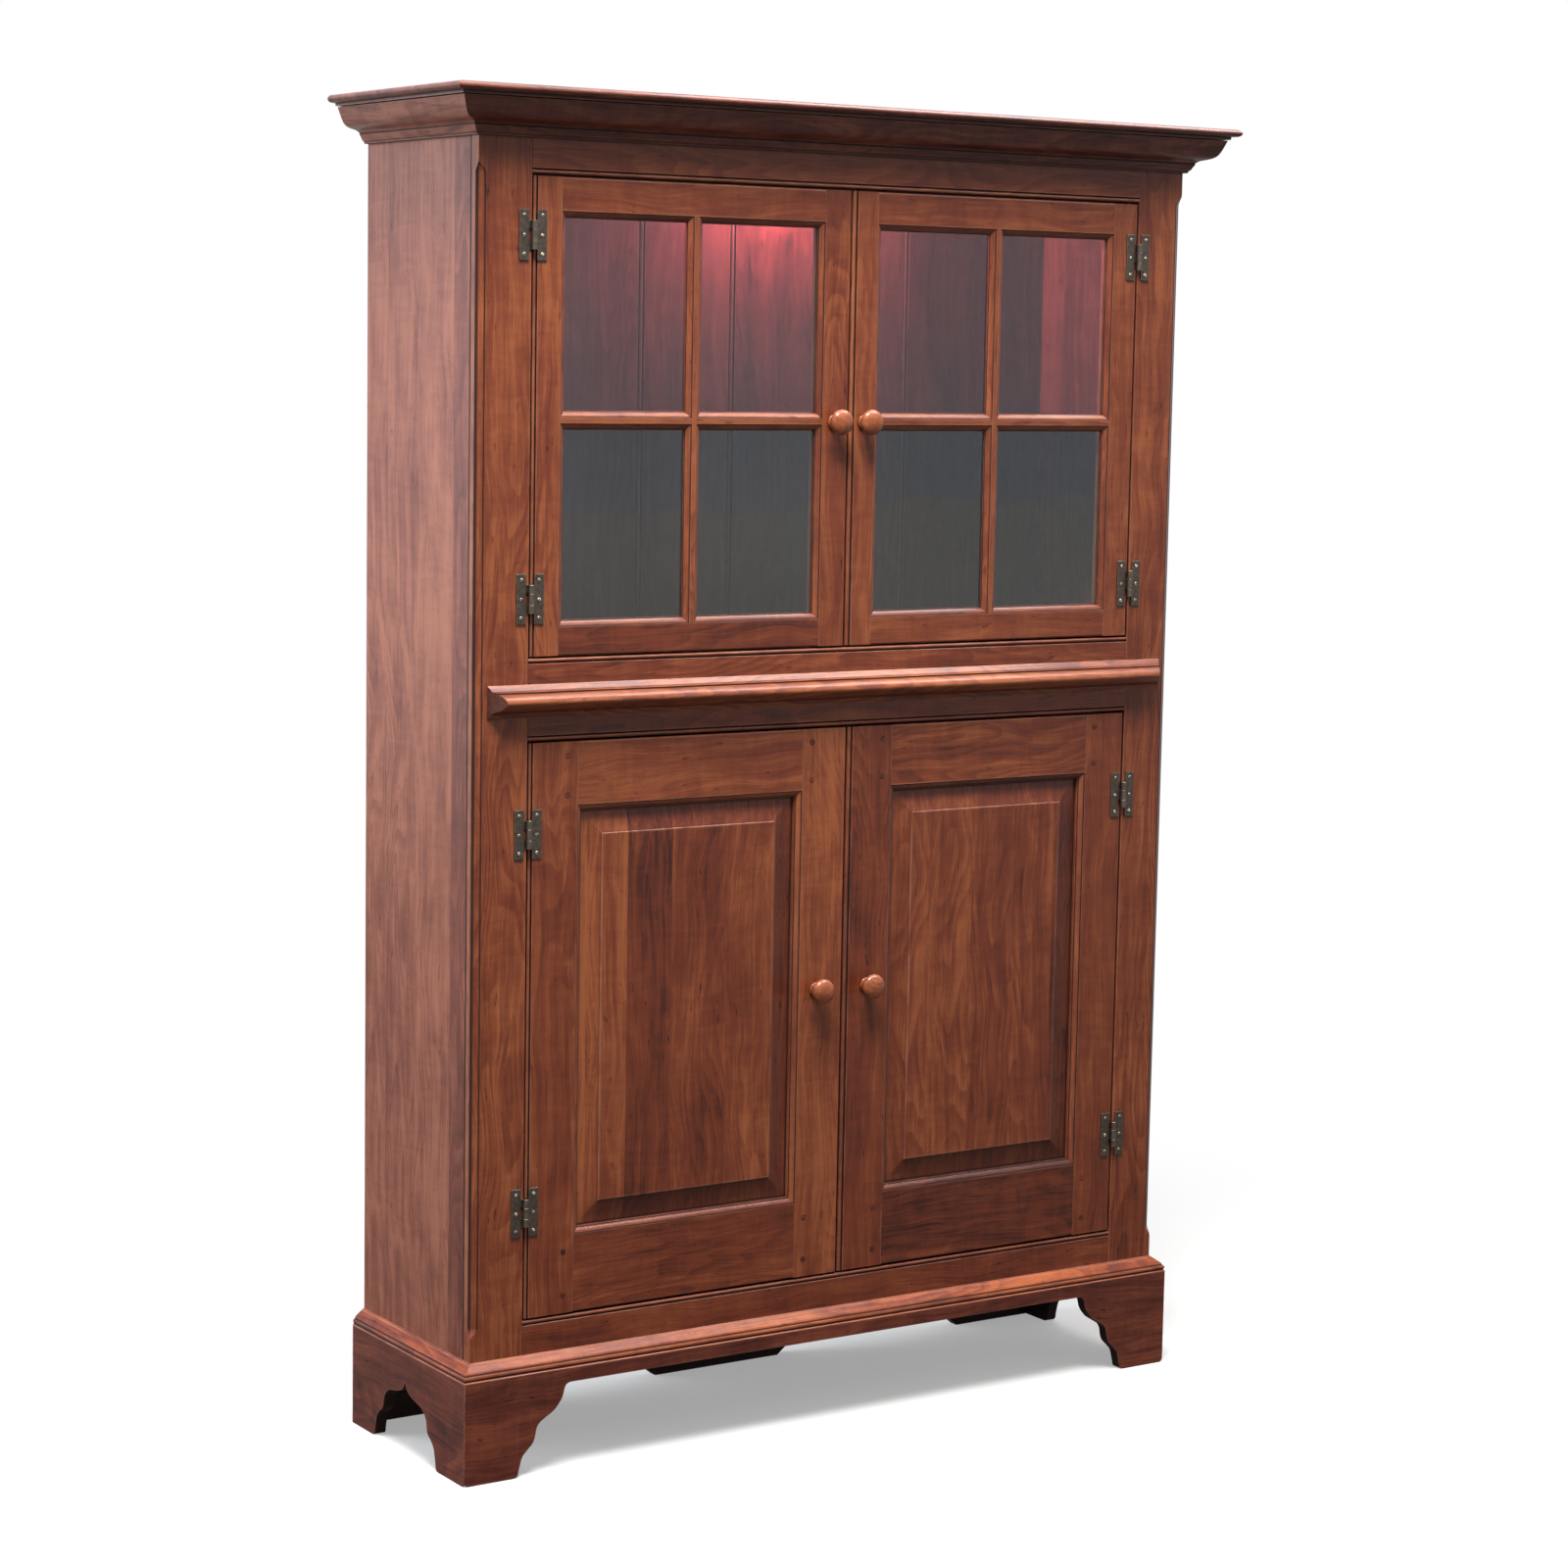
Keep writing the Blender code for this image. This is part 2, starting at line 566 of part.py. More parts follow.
def raised_panel(name, sight, holder):
    """A flat field with a bevel down to a tongue, which sits in the frame's groove."""
    left, right, bottom, top = sight
    tongue = STICK_WIDTH - GROOVE_DEPTH + PANEL_PLAY
    front = PANEL_SETBACK + FIT
    field = front - PANEL_RISE
    levels = (
        (tongue, front + TONGUE_THICKNESS), (tongue, front), (STICK_WIDTH + FIT, front),
        (PANEL_MARGIN, field + PANEL_STEP), (PANEL_MARGIN, field),
    )
    rings = []
    for inset, depth in levels:
        corners = ((left + inset, bottom + inset), (right - inset, bottom + inset),
                   (right - inset, top - inset), (left + inset, top - inset))
        rings.append([Vector((x, FACE_Y + depth, z)) for x, z in corners])
    lofted(name, rings, wood(name, 1.08), holder)


def knob(name, x, z, holder):
    """A turned knob: its outline is spun about an axis square to the door."""
    builder = bmesh.new()
    outline = [(KNOB_LENGTH * a, KNOB_RADIUS * b) for a, b in ((0.0, 0.0), *KNOB_SHARES)]
    chain = [builder.verts.new((x + radius, FACE_Y - FIT - out, z)) for out, radius in outline]
    edges = [builder.edges.new(pair) for pair in zip(chain, chain[1:])]
    bmesh.ops.spin(builder, geom=chain + edges, cent=(x, FACE_Y, z), axis=(0, 1, 0),
                   angle=2 * math.pi, steps=ROUND_STEPS, use_merge=True)
    bmesh.ops.remove_doubles(builder, verts=builder.verts, dist=FIT / ROUND_STEPS)
    item = placed(name, builder, wood(name, 1.2), holder)
    item.data.shade_smooth()


def round_bar(name, radius, low, high):
    """An upright bar on the hinge pin's axis."""
    ring = [(radius * math.cos(2 * math.pi * i / ROUND_STEPS),
             radius * math.sin(2 * math.pi * i / ROUND_STEPS)) for i in range(ROUND_STEPS)]
    return cutter(extruded(name, ring, low, high, lambda x, y, z: Vector((x, y, z)), brass(name)))


def leaf_mesh(name, knuckles, pinned):
    """The mesh of a hinge leaf about its pin at the origin, with its plate towards +X."""
    back = FACE_Y - PIN_Y - FIT
    front = back - LEAF_THICKNESS
    half = HINGE_HEIGHT / 2
    leaf = box(name, (LEAF_OFFSET, front, -half), (LEAF_OFFSET + LEAF_WIDTH, back, half), brass(name))
    tools = []
    for i, (low, high) in enumerate(knuckles):
        start = (FIT, front + FIT, low + FIT)
        end = (LEAF_OFFSET + LEAF_THICKNESS, back - FIT, high - FIT)
        tongue = cutter(box(f"{name}_tongue_{i}", start, end, brass(name)))
        knuckle = round_bar(f"{name}_knuckle_{i}", BARREL_RADIUS, low, high)
        cut(tongue, knuckle, "UNION")
        cut(leaf, tongue, "UNION")
        tools += [tongue, knuckle]
    if pinned:
        reach = BARREL_LENGTH / 2 - LEAF_THICKNESS
        tools.append(round_bar(name + "_pin", PIN_RADIUS, -reach, reach))
        cut(leaf, tools[-1], "UNION")
    else:
        tools.append(round_bar(name + "_bore", PIN_RADIUS + FIT, -half, half))
        cut(leaf, tools[-1])
    depsgraph = bpy.context.evaluated_depsgraph_get()
    mesh = bpy.data.meshes.new_from_object(leaf.evaluated_get(depsgraph))
    mesh.materials.clear()
    for used in [leaf, *tools]:
        bpy.data.objects.remove(used)
    return mesh


def hinge_meshes():
    """The frame leaf has the outer knuckles and the pin, the door leaf the middle knuckle."""
    half = BARREL_LENGTH / 2
    middle = half * MIDDLE_KNUCKLE_SHARE
    outer = ((-half, -middle - FIT), (middle + FIT, half))
    return leaf_mesh("frame_leaf", outer, True), leaf_mesh("door_leaf", ((-middle, middle),), False)


def hinges(door_name, side, heights, meshes, holder):
    """A hinge at each height: one leaf on the face frame and one on the door."""
    for place, z in zip(("upper", "lower"), heights):
        for kind, mesh, carrier, turned in (("frame", meshes[0], None, side < 0),
                                            ("door", meshes[1], holder, side > 0)):
            name = f"{door_name}_{place}_hinge_{kind}_leaf"
            item = linked(name, mesh.copy(), brass(name))
            item.data.shade_smooth()
            item.data.set_sharp_from_angle(angle=math.pi / 6)
            item.location = (side * PIN_X, PIN_Y, z)
            item.rotation_euler = (0.0, math.pi if turned else 0.0, 0.0)
            if carrier is not None:
                item.parent = carrier
                item.matrix_parent_inverse = Matrix.Translation(-carrier.location)


def door(name, side, meeting_x, low, high, stiles, rails, groove_at, groove_width, fill):
    """Stiles, rails and what fills them. The bead is on the left edge of every door.

    stiles is the widths of the left and the right one, rails those of the bottom and the top.
    """
    holder = bpy.data.objects.new(name + "_axis", None)
    holder.location = (side * PIN_X, PIN_Y, 0.0)
    bpy.context.scene.collection.objects.link(holder)
    faces = sorted((meeting_x + side * MEETING_GAP / 2, side * (OPENING_X - DOOR_GAP)))
    left, right = faces[0] + stiles[0], faces[1] - stiles[1]
    bottom, top = low + rails[0], high - rails[1]
    groove = (groove_at, groove_at + groove_width + 2 * FIT)
    names = ("hinge_stile", "lock_stile") if side < 0 else ("lock_stile", "hinge_stile")
    bead = bead_edge(HINGE_BEAD_WIDTH if side < 0 else MEETING_BEAD_WIDTH)
    members = (
        (names[0], stiles[0], bead, (low, high), rails,
         lambda s, d, t: Vector((left + s, FACE_Y + d, t))),
        (names[1], stiles[1], eased_edge(), (low, high), rails,
         lambda s, d, t: Vector((right - s, FACE_Y + d, t))),
        ("bottom_rail", rails[0], eased_edge(), (left + FIT, right - FIT), (0.0, 0.0),
         lambda s, d, t: Vector((t, FACE_Y + d, bottom + s))),
        ("top_rail", rails[1], eased_edge(), (left + FIT, right - FIT), (0.0, 0.0),
         lambda s, d, t: Vector((t, FACE_Y + d, top - s))),
    )
    for part, width, edge, span, shoulders, place in members:
        full = f"{name}_{part}"
        door_member(full, width, edge, groove, span, shoulders, place, holder, wood(full))
    fill(name, (left, right, bottom, top), holder)
    return holder


def glazed(name, sight, holder):
    """One sheet of glass in the frame's groove, with bars in front of it."""
    left, right, bottom, top = sight
    edge = STICK_WIDTH - GROOVE_DEPTH + PANE_PLAY
    low = (left + edge, FACE_Y + GLASS_SETBACK, bottom + edge)
    high = (right - edge, FACE_Y + GLASS_SETBACK + GLASS_THICKNESS, top - edge)
    glass = finish(name + "_glass", (0.8, 0.85, 0.83), 0.05, 0.0, 0.3)
    box(name + "_glass", low, high, glass, holder)
    glazing_bars(name + "_glazing_bars", sight, holder)


def panelled(name, sight, holder):
    raised_panel(name + "_raised_panel", sight, holder)


def doors():
    meshes = hinge_meshes()
    upper = (UPPER_OPENING_BOTTOM + HEAD_GAP, UPPER_OPENING_TOP - HEAD_GAP)
    lower = (LOWER_OPENING_BOTTOM + HEAD_GAP, LOWER_OPENING_TOP - HEAD_GAP)
    for word, side in (("left", -1), ("right", 1)):
        name = f"upper_{word}"
        stiles = (UPPER_STILE_WIDTH, UPPER_STILE_WIDTH)
        holder = door(name, side, 0.0, *upper, stiles, (UPPER_BOTTOM_RAIL, UPPER_TOP_RAIL),
                      GLASS_SETBACK - FIT, GLASS_THICKNESS, glazed)
        knob(name + "_knob", side * UPPER_KNOB_INSET, UPPER_KNOB_Z, holder)
        heights = (upper[1] - UPPER_HINGE_INSET, upper[0] + UPPER_HINGE_INSET)
        hinges(name, side, heights, meshes, holder)
        name = f"lower_{word}"
        stiles = (LOWER_BEADED_STILE, LOWER_LOCK_STILE if side < 0 else LOWER_HINGE_STILE)
        holder = door(name, side, LOWER_MEETING_X, *lower, stiles, (LOWER_BOTTOM_RAIL, LOWER_TOP_RAIL),
                      PANEL_SETBACK, TONGUE_THICKNESS, panelled)
        inset = LOWER_LEFT_KNOB_INSET if side < 0 else LOWER_RIGHT_KNOB_INSET
        knob(name + "_knob", LOWER_MEETING_X + side * inset, LOWER_KNOB_Z, holder)
        heights = (lower[1] - LOWER_HINGE_DROP, lower[0] + LOWER_HINGE_RISE)
        hinges(name, side, heights, meshes, holder)


def main():
    clear_scene()
    case_boards()
    back_panel()
    face_frame()
    cornice()
    waist_moulding()
    base_boards()
    doors()


main()
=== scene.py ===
# %% [markdown]
# # A stained cherry cupboard
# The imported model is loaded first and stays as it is. Each new piece is worked out in metres in
# the same frame, so it lies exactly on the solid that it dresses.

# %% Load the frame
import math
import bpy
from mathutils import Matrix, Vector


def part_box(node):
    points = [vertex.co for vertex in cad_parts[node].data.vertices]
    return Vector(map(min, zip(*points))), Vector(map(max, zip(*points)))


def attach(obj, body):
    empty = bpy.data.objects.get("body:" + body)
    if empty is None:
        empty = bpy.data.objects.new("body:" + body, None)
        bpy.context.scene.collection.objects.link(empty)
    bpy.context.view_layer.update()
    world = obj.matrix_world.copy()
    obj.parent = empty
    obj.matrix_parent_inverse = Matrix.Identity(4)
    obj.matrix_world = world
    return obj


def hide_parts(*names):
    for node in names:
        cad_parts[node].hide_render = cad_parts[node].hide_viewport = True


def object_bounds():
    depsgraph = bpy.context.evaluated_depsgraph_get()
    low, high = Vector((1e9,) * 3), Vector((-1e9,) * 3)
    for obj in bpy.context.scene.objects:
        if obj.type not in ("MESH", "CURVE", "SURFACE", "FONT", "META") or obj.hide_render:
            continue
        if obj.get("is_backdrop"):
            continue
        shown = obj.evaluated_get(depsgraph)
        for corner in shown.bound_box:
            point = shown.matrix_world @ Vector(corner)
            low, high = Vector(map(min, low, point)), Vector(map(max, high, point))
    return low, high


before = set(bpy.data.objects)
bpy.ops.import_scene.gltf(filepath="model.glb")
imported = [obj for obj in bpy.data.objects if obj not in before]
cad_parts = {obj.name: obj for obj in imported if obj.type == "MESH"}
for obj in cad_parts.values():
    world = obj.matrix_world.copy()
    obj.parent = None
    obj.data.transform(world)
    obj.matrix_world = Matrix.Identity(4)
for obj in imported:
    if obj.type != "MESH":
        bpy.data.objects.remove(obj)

import zlib

import bpy
import numpy as np
from mathutils import Matrix, Vector

MM = 0.001
X, Y, Z = np.eye(3)
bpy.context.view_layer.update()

# %% [markdown]
# ## Planes that everything is measured from
# The face frame's front is the plane that doors, rails and mouldings share. The planes are read
# from the frame, so they can't drift away from the solids.

# %% Planes read from the frame
STILE_LOW, STILE_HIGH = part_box("face_stile_right")
FACE = STILE_LOW.y
SIDE = STILE_HIGH.x
OPENING = STILE_LOW.x
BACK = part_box("back_panel")[1].y
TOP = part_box("cornice")[1].z
DOOR_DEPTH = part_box("lower_left_lock_stile")[1].y - FACE
FIT = 0.3 * MM
ORIGIN, FRONT = np.zeros(3), np.array((0, FACE, 0))
print("face", round(FACE, 4), "side", round(SIDE, 4), "opening", round(OPENING, 4))

# %% [markdown]
# ## Outlines
# Cabinet work is a set of outlines run along lines. These helpers round an outline's corners, add
# points close to each corner, and find the glaze and painted shade in corners and the wear and
# painted highlight on edges.


# %% Outline helpers
SIDE_SHARE = 0.45  # the most of a side that one corner may take
LEAST_MEAN = 0.4  # keeps very sharp corners from shooting away


def turning(points):
    """The turn at each corner of a closed outline, in radians: positive where it bulges out.

    It is the angle whose tangent is the cross product of the two sides over their dot product.
    """
    before = points - np.roll(points, 1, axis=0)
    after = np.roll(points, -1, axis=0) - points
    cross = before[:, 0] * after[:, 1] - before[:, 1] * after[:, 0]
    return np.arctan2(cross, (before * after).sum(axis=1))


def anticlockwise(points):
    """The same outline, turned round if its turns add up to less than nothing."""
    points = np.asarray(points, float)
    return points if turning(points).sum() > 0 else points[::-1]


def rectangle(left, low, right, high):
    """The four corners of a rectangle, anticlockwise."""
    return [(left, low), (right, low), (right, high), (left, high)]


def parabola(start, corner, end, count):
    """Points of a rounded corner: the parabola from start to end whose tangents meet at corner."""
    w = np.linspace(0, 1, count)[:, None]
    start, corner, end = map(np.asarray, (start, corner, end))
    return (1 - w) ** 2 * start + 2 * w * (1 - w) * corner + w ** 2 * end


def eased(points, radius, steps=3):
    """Rounds corners: each becomes a parabola between points cut back along its two sides."""
    points = anticlockwise(points)
    before = np.roll(points, 1, axis=0) - points
    after = np.roll(points, -1, axis=0) - points
    long_before = np.linalg.norm(before, axis=1)
    long_after = np.linalg.norm(after, axis=1)
    cut = radius * np.tan(np.abs(turning(points)) / 2)
    cut = np.minimum(cut, SIDE_SHARE * np.minimum(long_before, long_after))
    first = points + before * (cut / long_before)[:, None]
    last = points + after * (cut / long_after)[:, None]
    arcs = parabola(first[:, None], points[:, None], last[:, None], steps + 1)
    flat = arcs.reshape(-1, 2)
    apart = np.linalg.norm(flat - np.roll(flat, 1, axis=0), axis=1) > 1e-6
    return flat[apart]


GUARDS = np.array((0.4, 1.2, 3.0)) * MM


def guarded(points):
    """Turns an outline anticlockwise, with points a little way from both ends of long sides."""
    points = anticlockwise(points)
    run = np.roll(points, -1, axis=0) - points
    length = np.linalg.norm(run, axis=1)[:, None]
    near = np.repeat(np.append(0.0, GUARDS)[None], len(points), axis=0)
    far = length - GUARDS[None, ::-1]
    along = np.hstack([near, far])
    keep = np.hstack([near < length * SIDE_SHARE, far > length * (1 - SIDE_SHARE)])
    keep[:, 0] = True
    spots = points[:, None] + run[:, None] * (along / length)[..., None]
    return spots[keep]


def flowing(points, steps=4):
    """A smooth open curve through the points: the cubic whose slope at each is half the chord
    between its neighbours."""
    points = np.asarray(points, float)
    chain = np.vstack([2 * points[0] - points[1], points, 2 * points[-1] - points[-2]])
    a, b, c, d = chain[:-3], chain[1:-2], chain[2:-1], chain[3:]
    w = np.linspace(0, 1, steps, endpoint=False)[:, None, None]
    curve = (2 * b + (c - a) * w + (2 * a - 5 * b + 4 * c - d) * w ** 2
             + (3 * b - a - 3 * c + d) * w ** 3) / 2
    return np.vstack([curve.transpose(1, 0, 2).reshape(-1, 2), points[-1:]])


def inset(points, amount):
    """A closed outline moved inwards: each corner goes along the mean of its sides' normals."""
    run = np.roll(points, -1, axis=0) - points
    run /= np.linalg.norm(run, axis=1)[:, None]
    normal = np.stack([-run[:, 1], run[:, 0]], axis=1)
    mean = normal + np.roll(normal, 1, axis=0)
    mean /= np.maximum((mean ** 2).sum(axis=1) / 2, LEAST_MEAN)[:, None]
    return points + mean * amount


def bell(distance, reach):
    """A bell curve: e to the power of minus the square of distance over reach."""
    return np.exp(-(distance / reach) ** 2)


GLAZE_AND_SHADE_REACH, WEAR_AND_HIGHLIGHT_REACH, FULL_WEAR_AND_HIGHLIGHT = 1.3 * MM, 0.8 * MM, 1.2


def stain_and_painted_light(points):
    """Glaze with painted shade, and wear with painted highlight, along a closed outline, each from
    0 to 1.

    Each is the sum of the turns inwards, or outwards, weighed by a bell curve of the distance
    along the outline.
    """
    turn = turning(points)
    step = np.linalg.norm(np.roll(points, -1, axis=0) - points, axis=1)
    along = np.append(0.0, np.cumsum(step)[:-1])
    gap = np.abs(along[:, None] - along[None])
    gap = np.minimum(gap, step.sum() - gap)
    glaze_and_shade = bell(gap, GLAZE_AND_SHADE_REACH) @ np.maximum(-turn, 0)
    wear_and_highlight = bell(gap, WEAR_AND_HIGHLIGHT_REACH) @ np.maximum(turn, 0)
    return np.clip(glaze_and_shade, 0, 1), np.clip(wear_and_highlight / FULL_WEAR_AND_HIGHLIGHT, 0, 1)


# %% [markdown]
# ## Shells
# A shell is a closed surface through rings of as many points each. It remembers how its grain
# runs, how light or dark its board is, and how wide the boards are that it is glued up from.


# %% Shell helpers
def at(place, u, v, w):
    """Points origin + u U + v V + w W, where place is (origin, U, V, W)."""
    u, v, w = np.broadcast_arrays(u, v, w)
    origin, U, V, W = place
    return origin + u[..., None] * U + v[..., None] * V + w[..., None] * W


def solid(verts, faces, glaze_and_shade=0.0, wear_and_highlight=0.0, grain="xyz", tone=0.0, glued=0.0, across=None):
    """One closed surface as piece() takes it. grain names the axes (across, depth, along)."""
    glaze_and_shade, wear_and_highlight = (np.broadcast_to(v, len(verts)) for v in (glaze_and_shade, wear_and_highlight))
    return {"verts": verts, "faces": faces, "glaze_and_shade": glaze_and_shade, "wear_and_highlight": wear_and_highlight,
            "grain": grain, "tone": tone, "glued": glued, "across": across}


def shell(rings, stains_and_painted_light=(0.0, 0.0), **wood):
    """A closed surface through rings[station, point]. The second argument is its glaze with
    painted shade and its wear with painted highlight, each with a value for every point of a ring,
    for every ring, or for both.

    The volume is the sum of the small pyramids between the faces and the middle, and the faces
    are turned round if it is negative.
    """
    rings = np.asarray(rings, float)
    stations, count = rings.shape[:2]
    index = np.arange(stations * count).reshape(stations, count)
    low, high = index[:-1], index[1:]
    quads = np.stack([low, np.roll(low, -1, 1), np.roll(high, -1, 1), high], -1).reshape(-1, 4)
    verts = rings.reshape(-1, 3)
    middle = verts.mean(axis=0)
    p = verts[quads] - middle
    turn = np.cross(p[:, 1], p[:, 2]) + np.cross(p[:, 2], p[:, 3])
    volume = np.einsum("ij,ij->", p[:, 0], turn)
    for cap in (index[0][::-1], index[-1]):
        c = verts[cap] - middle
        volume += (c[0] * np.cross(c[1:-1], c[2:])).sum()
    faces = quads.tolist() + [index[0][::-1].tolist(), index[-1].tolist()]
    if volume < 0:
        faces = [face[::-1] for face in faces]
    glaze_and_shade, wear_and_highlight = (np.broadcast_to(s, (stations, count)).ravel() for s in stains_and_painted_light)
    return solid(verts, faces, glaze_and_shade, wear_and_highlight, **wood)


def bar(outline, place, start, end, ease=0.0, stains_and_painted_light=None, **wood):
    """An outline run straight along W. start and end may differ from point to point, which
    makes a mitre, and ease rounds both ends over a quarter of a circle."""
    outline = anticlockwise(outline)
    stains_and_painted_light = stain_and_painted_light(outline) if stains_and_painted_light is None else stains_and_painted_light
    if not ease:
        return shell([at(place, *outline.T, start), at(place, *outline.T, end)], stains_and_painted_light, **wood)
    angle = np.linspace(0, math.pi / 2, 4)
    levels = ease * np.stack([1 - np.sin(angle), 1 - np.cos(angle)], axis=1)
    rings = [at(place, *inset(outline, back).T, start + on) for back, on in levels]
    rings += [at(place, *inset(outline, back).T, end - on) for back, on in levels[::-1]]
    return shell(rings, stains_and_painted_light, **wood)


def marks(levels):
    """The glaze with painted shade and the wear with painted highlight of levels whose last two
    values are these, as shell() takes them.
    """
    return np.array(levels).T[2:, :, None]


def stacked(outline, levels, place, bend=None, **wood):
    """Copies of an outline, each moved inwards and lifted: levels is (inset, height, glaze and
    painted shade, wear and painted highlight). bend(u, v, w) may move the points on."""
    outline = anticlockwise(outline)
    rings = []
    for back, height, _, _ in levels:
        u, v = inset(outline, back).T
        w = np.full(len(u), height)
        rings.append(at(place, *(bend(u, v, w) if bend else (u, v, w))))
    return shell(rings, marks(levels), **wood)


def turned(levels, centre, axes=(-Y, X, Z), count=20, **wood):
    """Turning on a lathe: levels is (along, radius, glaze and painted shade, wear and painted
    highlight), and axes is the way along and the two ways across. A ring's points are the
    radius times the angle's cosine and sine."""
    angle = np.linspace(0, 2 * math.pi, count, endpoint=False)[:, None]
    along, out, across = axes
    around = np.cos(angle) * out + np.sin(angle) * across
    rings = [np.array(centre) + a * along + radius * around for a, radius, _, _ in levels]
    return shell(rings, marks(levels), **wood)


def slab_levels(back, front, ease=0.8 * MM, rubbed_and_highlight=0.7, wall=0.2, soft=1.8 * MM):
    """Levels for a board whose front edges are rounded over a quarter of a circle. The wear and
    painted highlight end at the distance soft behind the edge, which stays less than the
    outline's own radii."""
    sign = 1 if front > back else -1
    near = front - sign * (ease + 0.6 * MM)
    levels = [(0.0, back, wall, 0.0), (0.0, near, wall if wall > 0.5 else 0.0, 0.0)]
    levels += [(ease * (1 - math.cos(a)), front - sign * ease * (1 - math.sin(a)), 0.0, rubbed_and_highlight)
               for a in np.linspace(0, math.pi / 2, 4)]
    return levels + [(ease + soft / 2, front, 0.0, rubbed_and_highlight / 3), (ease + soft, front, 0.0, 0.0)]


BLOCK_EASE, CORNER_SHARE = 0.6 * MM, 1.7


def block(low, high, along="z", **wood):
    """A plain board with all its edges eased, its grain running along the named axis."""
    low, high = np.array(low), np.array(high)
    u, v, w = {"z": (0, 1, 2), "x": (2, 1, 0)}[along]
    outline = eased(rectangle(low[u], low[v], high[u], high[v]), CORNER_SHARE * BLOCK_EASE)
    axes = np.eye(3)
    place = (ORIGIN, axes[u], axes[v], axes[w])
    return bar(guarded(outline), place, low[w], high[w], BLOCK_EASE, **wood)


# %% [markdown]
# ## Making an object
# All shells of a piece become one mesh. Five attributes go with it for the materials: where a
# point lies in its board, the board's tone and width, the glaze with painted shade and the wear
# with painted highlight.

# %% Objects from shells
MATERIALS = {}
TONE_RANGE = 0.08
CUT_RANGE = 2, 9  # metres, from where in the tree's figure a board is cut


def piece(name, body, slot, shells, replaces=None, sharp=32, material=None):
    """Joins shells into one object that rides on a body and stands for a node.

    A point's place in its board is (across, depth, along), moved by an amount that is drawn from
    the board's name, so that no two boards show the same figure.
    """
    counts = [len(s["verts"]) for s in shells]
    starts = np.cumsum([0] + counts)
    faces = [[i + start for i in face] for s, start in zip(shells, starts) for face in s["faces"]]
    mesh = bpy.data.meshes.new(name)
    mesh.from_pydata(np.vstack([s["verts"] for s in shells]), [], faces)
    grain, tone = [], []
    for i, s in enumerate(shells):
        draw = np.random.default_rng(zlib.crc32(f"{name}{i}".encode()))
        order = ["xyz".index(letter) for letter in s["grain"]]
        places = s["verts"][:, order] + draw.uniform(*CUT_RANGE, 3)
        if s["across"] is not None:
            places[:, 0] = s["verts"][:, order[0]] + s["across"]
        grain.append(places)
        tone.append(s["tone"] + draw.uniform(-TONE_RANGE, TONE_RANGE))
    values = {"grain": np.vstack(grain), "tone": np.repeat(tone, counts),
              "glued": np.repeat([s["glued"] for s in shells], counts)}
    for key in ("glaze_and_shade", "wear_and_highlight"):
        values[key] = np.concatenate([s[key] for s in shells])
    for key, numbers in values.items():
        kind, field = ("FLOAT_VECTOR", "vector") if key == "grain" else ("FLOAT", "value")
        made = mesh.attributes.new(key, kind, "POINT")
        made.data.foreach_set(field, np.asarray(numbers, np.float32).ravel())
    mesh.shade_smooth()
    mesh.set_sharp_from_angle(angle=math.radians(sharp))
    item = bpy.data.objects.new(name, mesh)
    bpy.context.scene.collection.objects.link(item)
    item.data.materials.append(MATERIALS[material or slot])
    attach(item, body)
    if replaces:
        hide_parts(replaces)
    return item


# %% [markdown]
# ## Sums of shader values
# A shader is a chain of sums. With these helpers a sum is written as a sum: adding, taking away
# or multiplying two values makes the node that does it.


# %% Shader helpers
class Value:
    """What one output of a node gives, to reckon with or to link to another node.

    Plus, minus and times work as for numbers. most and least are the larger and the smaller of
    two, and fraction is what is left of a value above its whole part.
    """

    def __init__(self, node, key=0):
        self.tree, self.socket = node.id_data, node.outputs[key]

    def calc(self, operation, *terms):
        """The result of a Math node on these values and numbers."""
        return Value(add_node(self.tree, "Math", dict(enumerate(terms)), operation=operation))

    def __add__(self, other):
        return self.calc("ADD", self, other)

    def __sub__(self, other):
        return self.calc("SUBTRACT", self, other)

    def __rsub__(self, other):
        return self.calc("SUBTRACT", other, self)

    def __mul__(self, other):
        return self.calc("MULTIPLY", self, other)

    def most(self, other):
        return self.calc("MAXIMUM", self, other)

    def least(self, other):
        return self.calc("MINIMUM", self, other)

    def fraction(self):
        return self.calc("FRACT", self)

    def spread(self, low, high, to_low=0.0, to_high=1.0):
        """Goes smoothly from to_low to to_high while this value goes from low to high."""
        ends = {"From Min": low, "From Max": high, "To Min": to_low, "To Max": to_high}
        node = add_node(self.tree, "MapRange", {"Value": self, **ends},
                        interpolation_type="SMOOTHSTEP")
        return Value(node, "Result")


def fill(node, inputs):
    """Gives each named input of a node a number, a colour or a Value."""
    for key, value in inputs.items():
        socket = node.inputs[key]
        if isinstance(value, Value):
            node.id_data.links.new(value.socket, socket)
        else:
            socket.default_value = (*value, 1.0) if socket.type == "RGBA" else value
    return node


def add_node(tree, kind, inputs={}, **settings):
    """A new shader node with its settings and inputs."""
    node = tree.nodes.new("ShaderNode" + kind)
    for key, value in settings.items():
        setattr(node, key, value)
    return fill(node, inputs)


def noise(vector, scale, detail=2.0, roughness=0.5, distortion=0.0):
    """Smooth noise, with scale as a vector in waves per metre (across, depth, along)."""
    scaled = add_node(vector.tree, "VectorMath", {0: vector, 1: scale}, operation="MULTIPLY")
    node = add_node(vector.tree, "TexNoise", {"Vector": Value(scaled), "Scale": 1.0})
    fill(node, {"Detail": detail, "Roughness": roughness, "Distortion": distortion})
    return Value(node, "Fac")


MIX_SHARE, MIX_FIRST, MIX_SECOND, MIX_RESULT = 0, 6, 7, 2


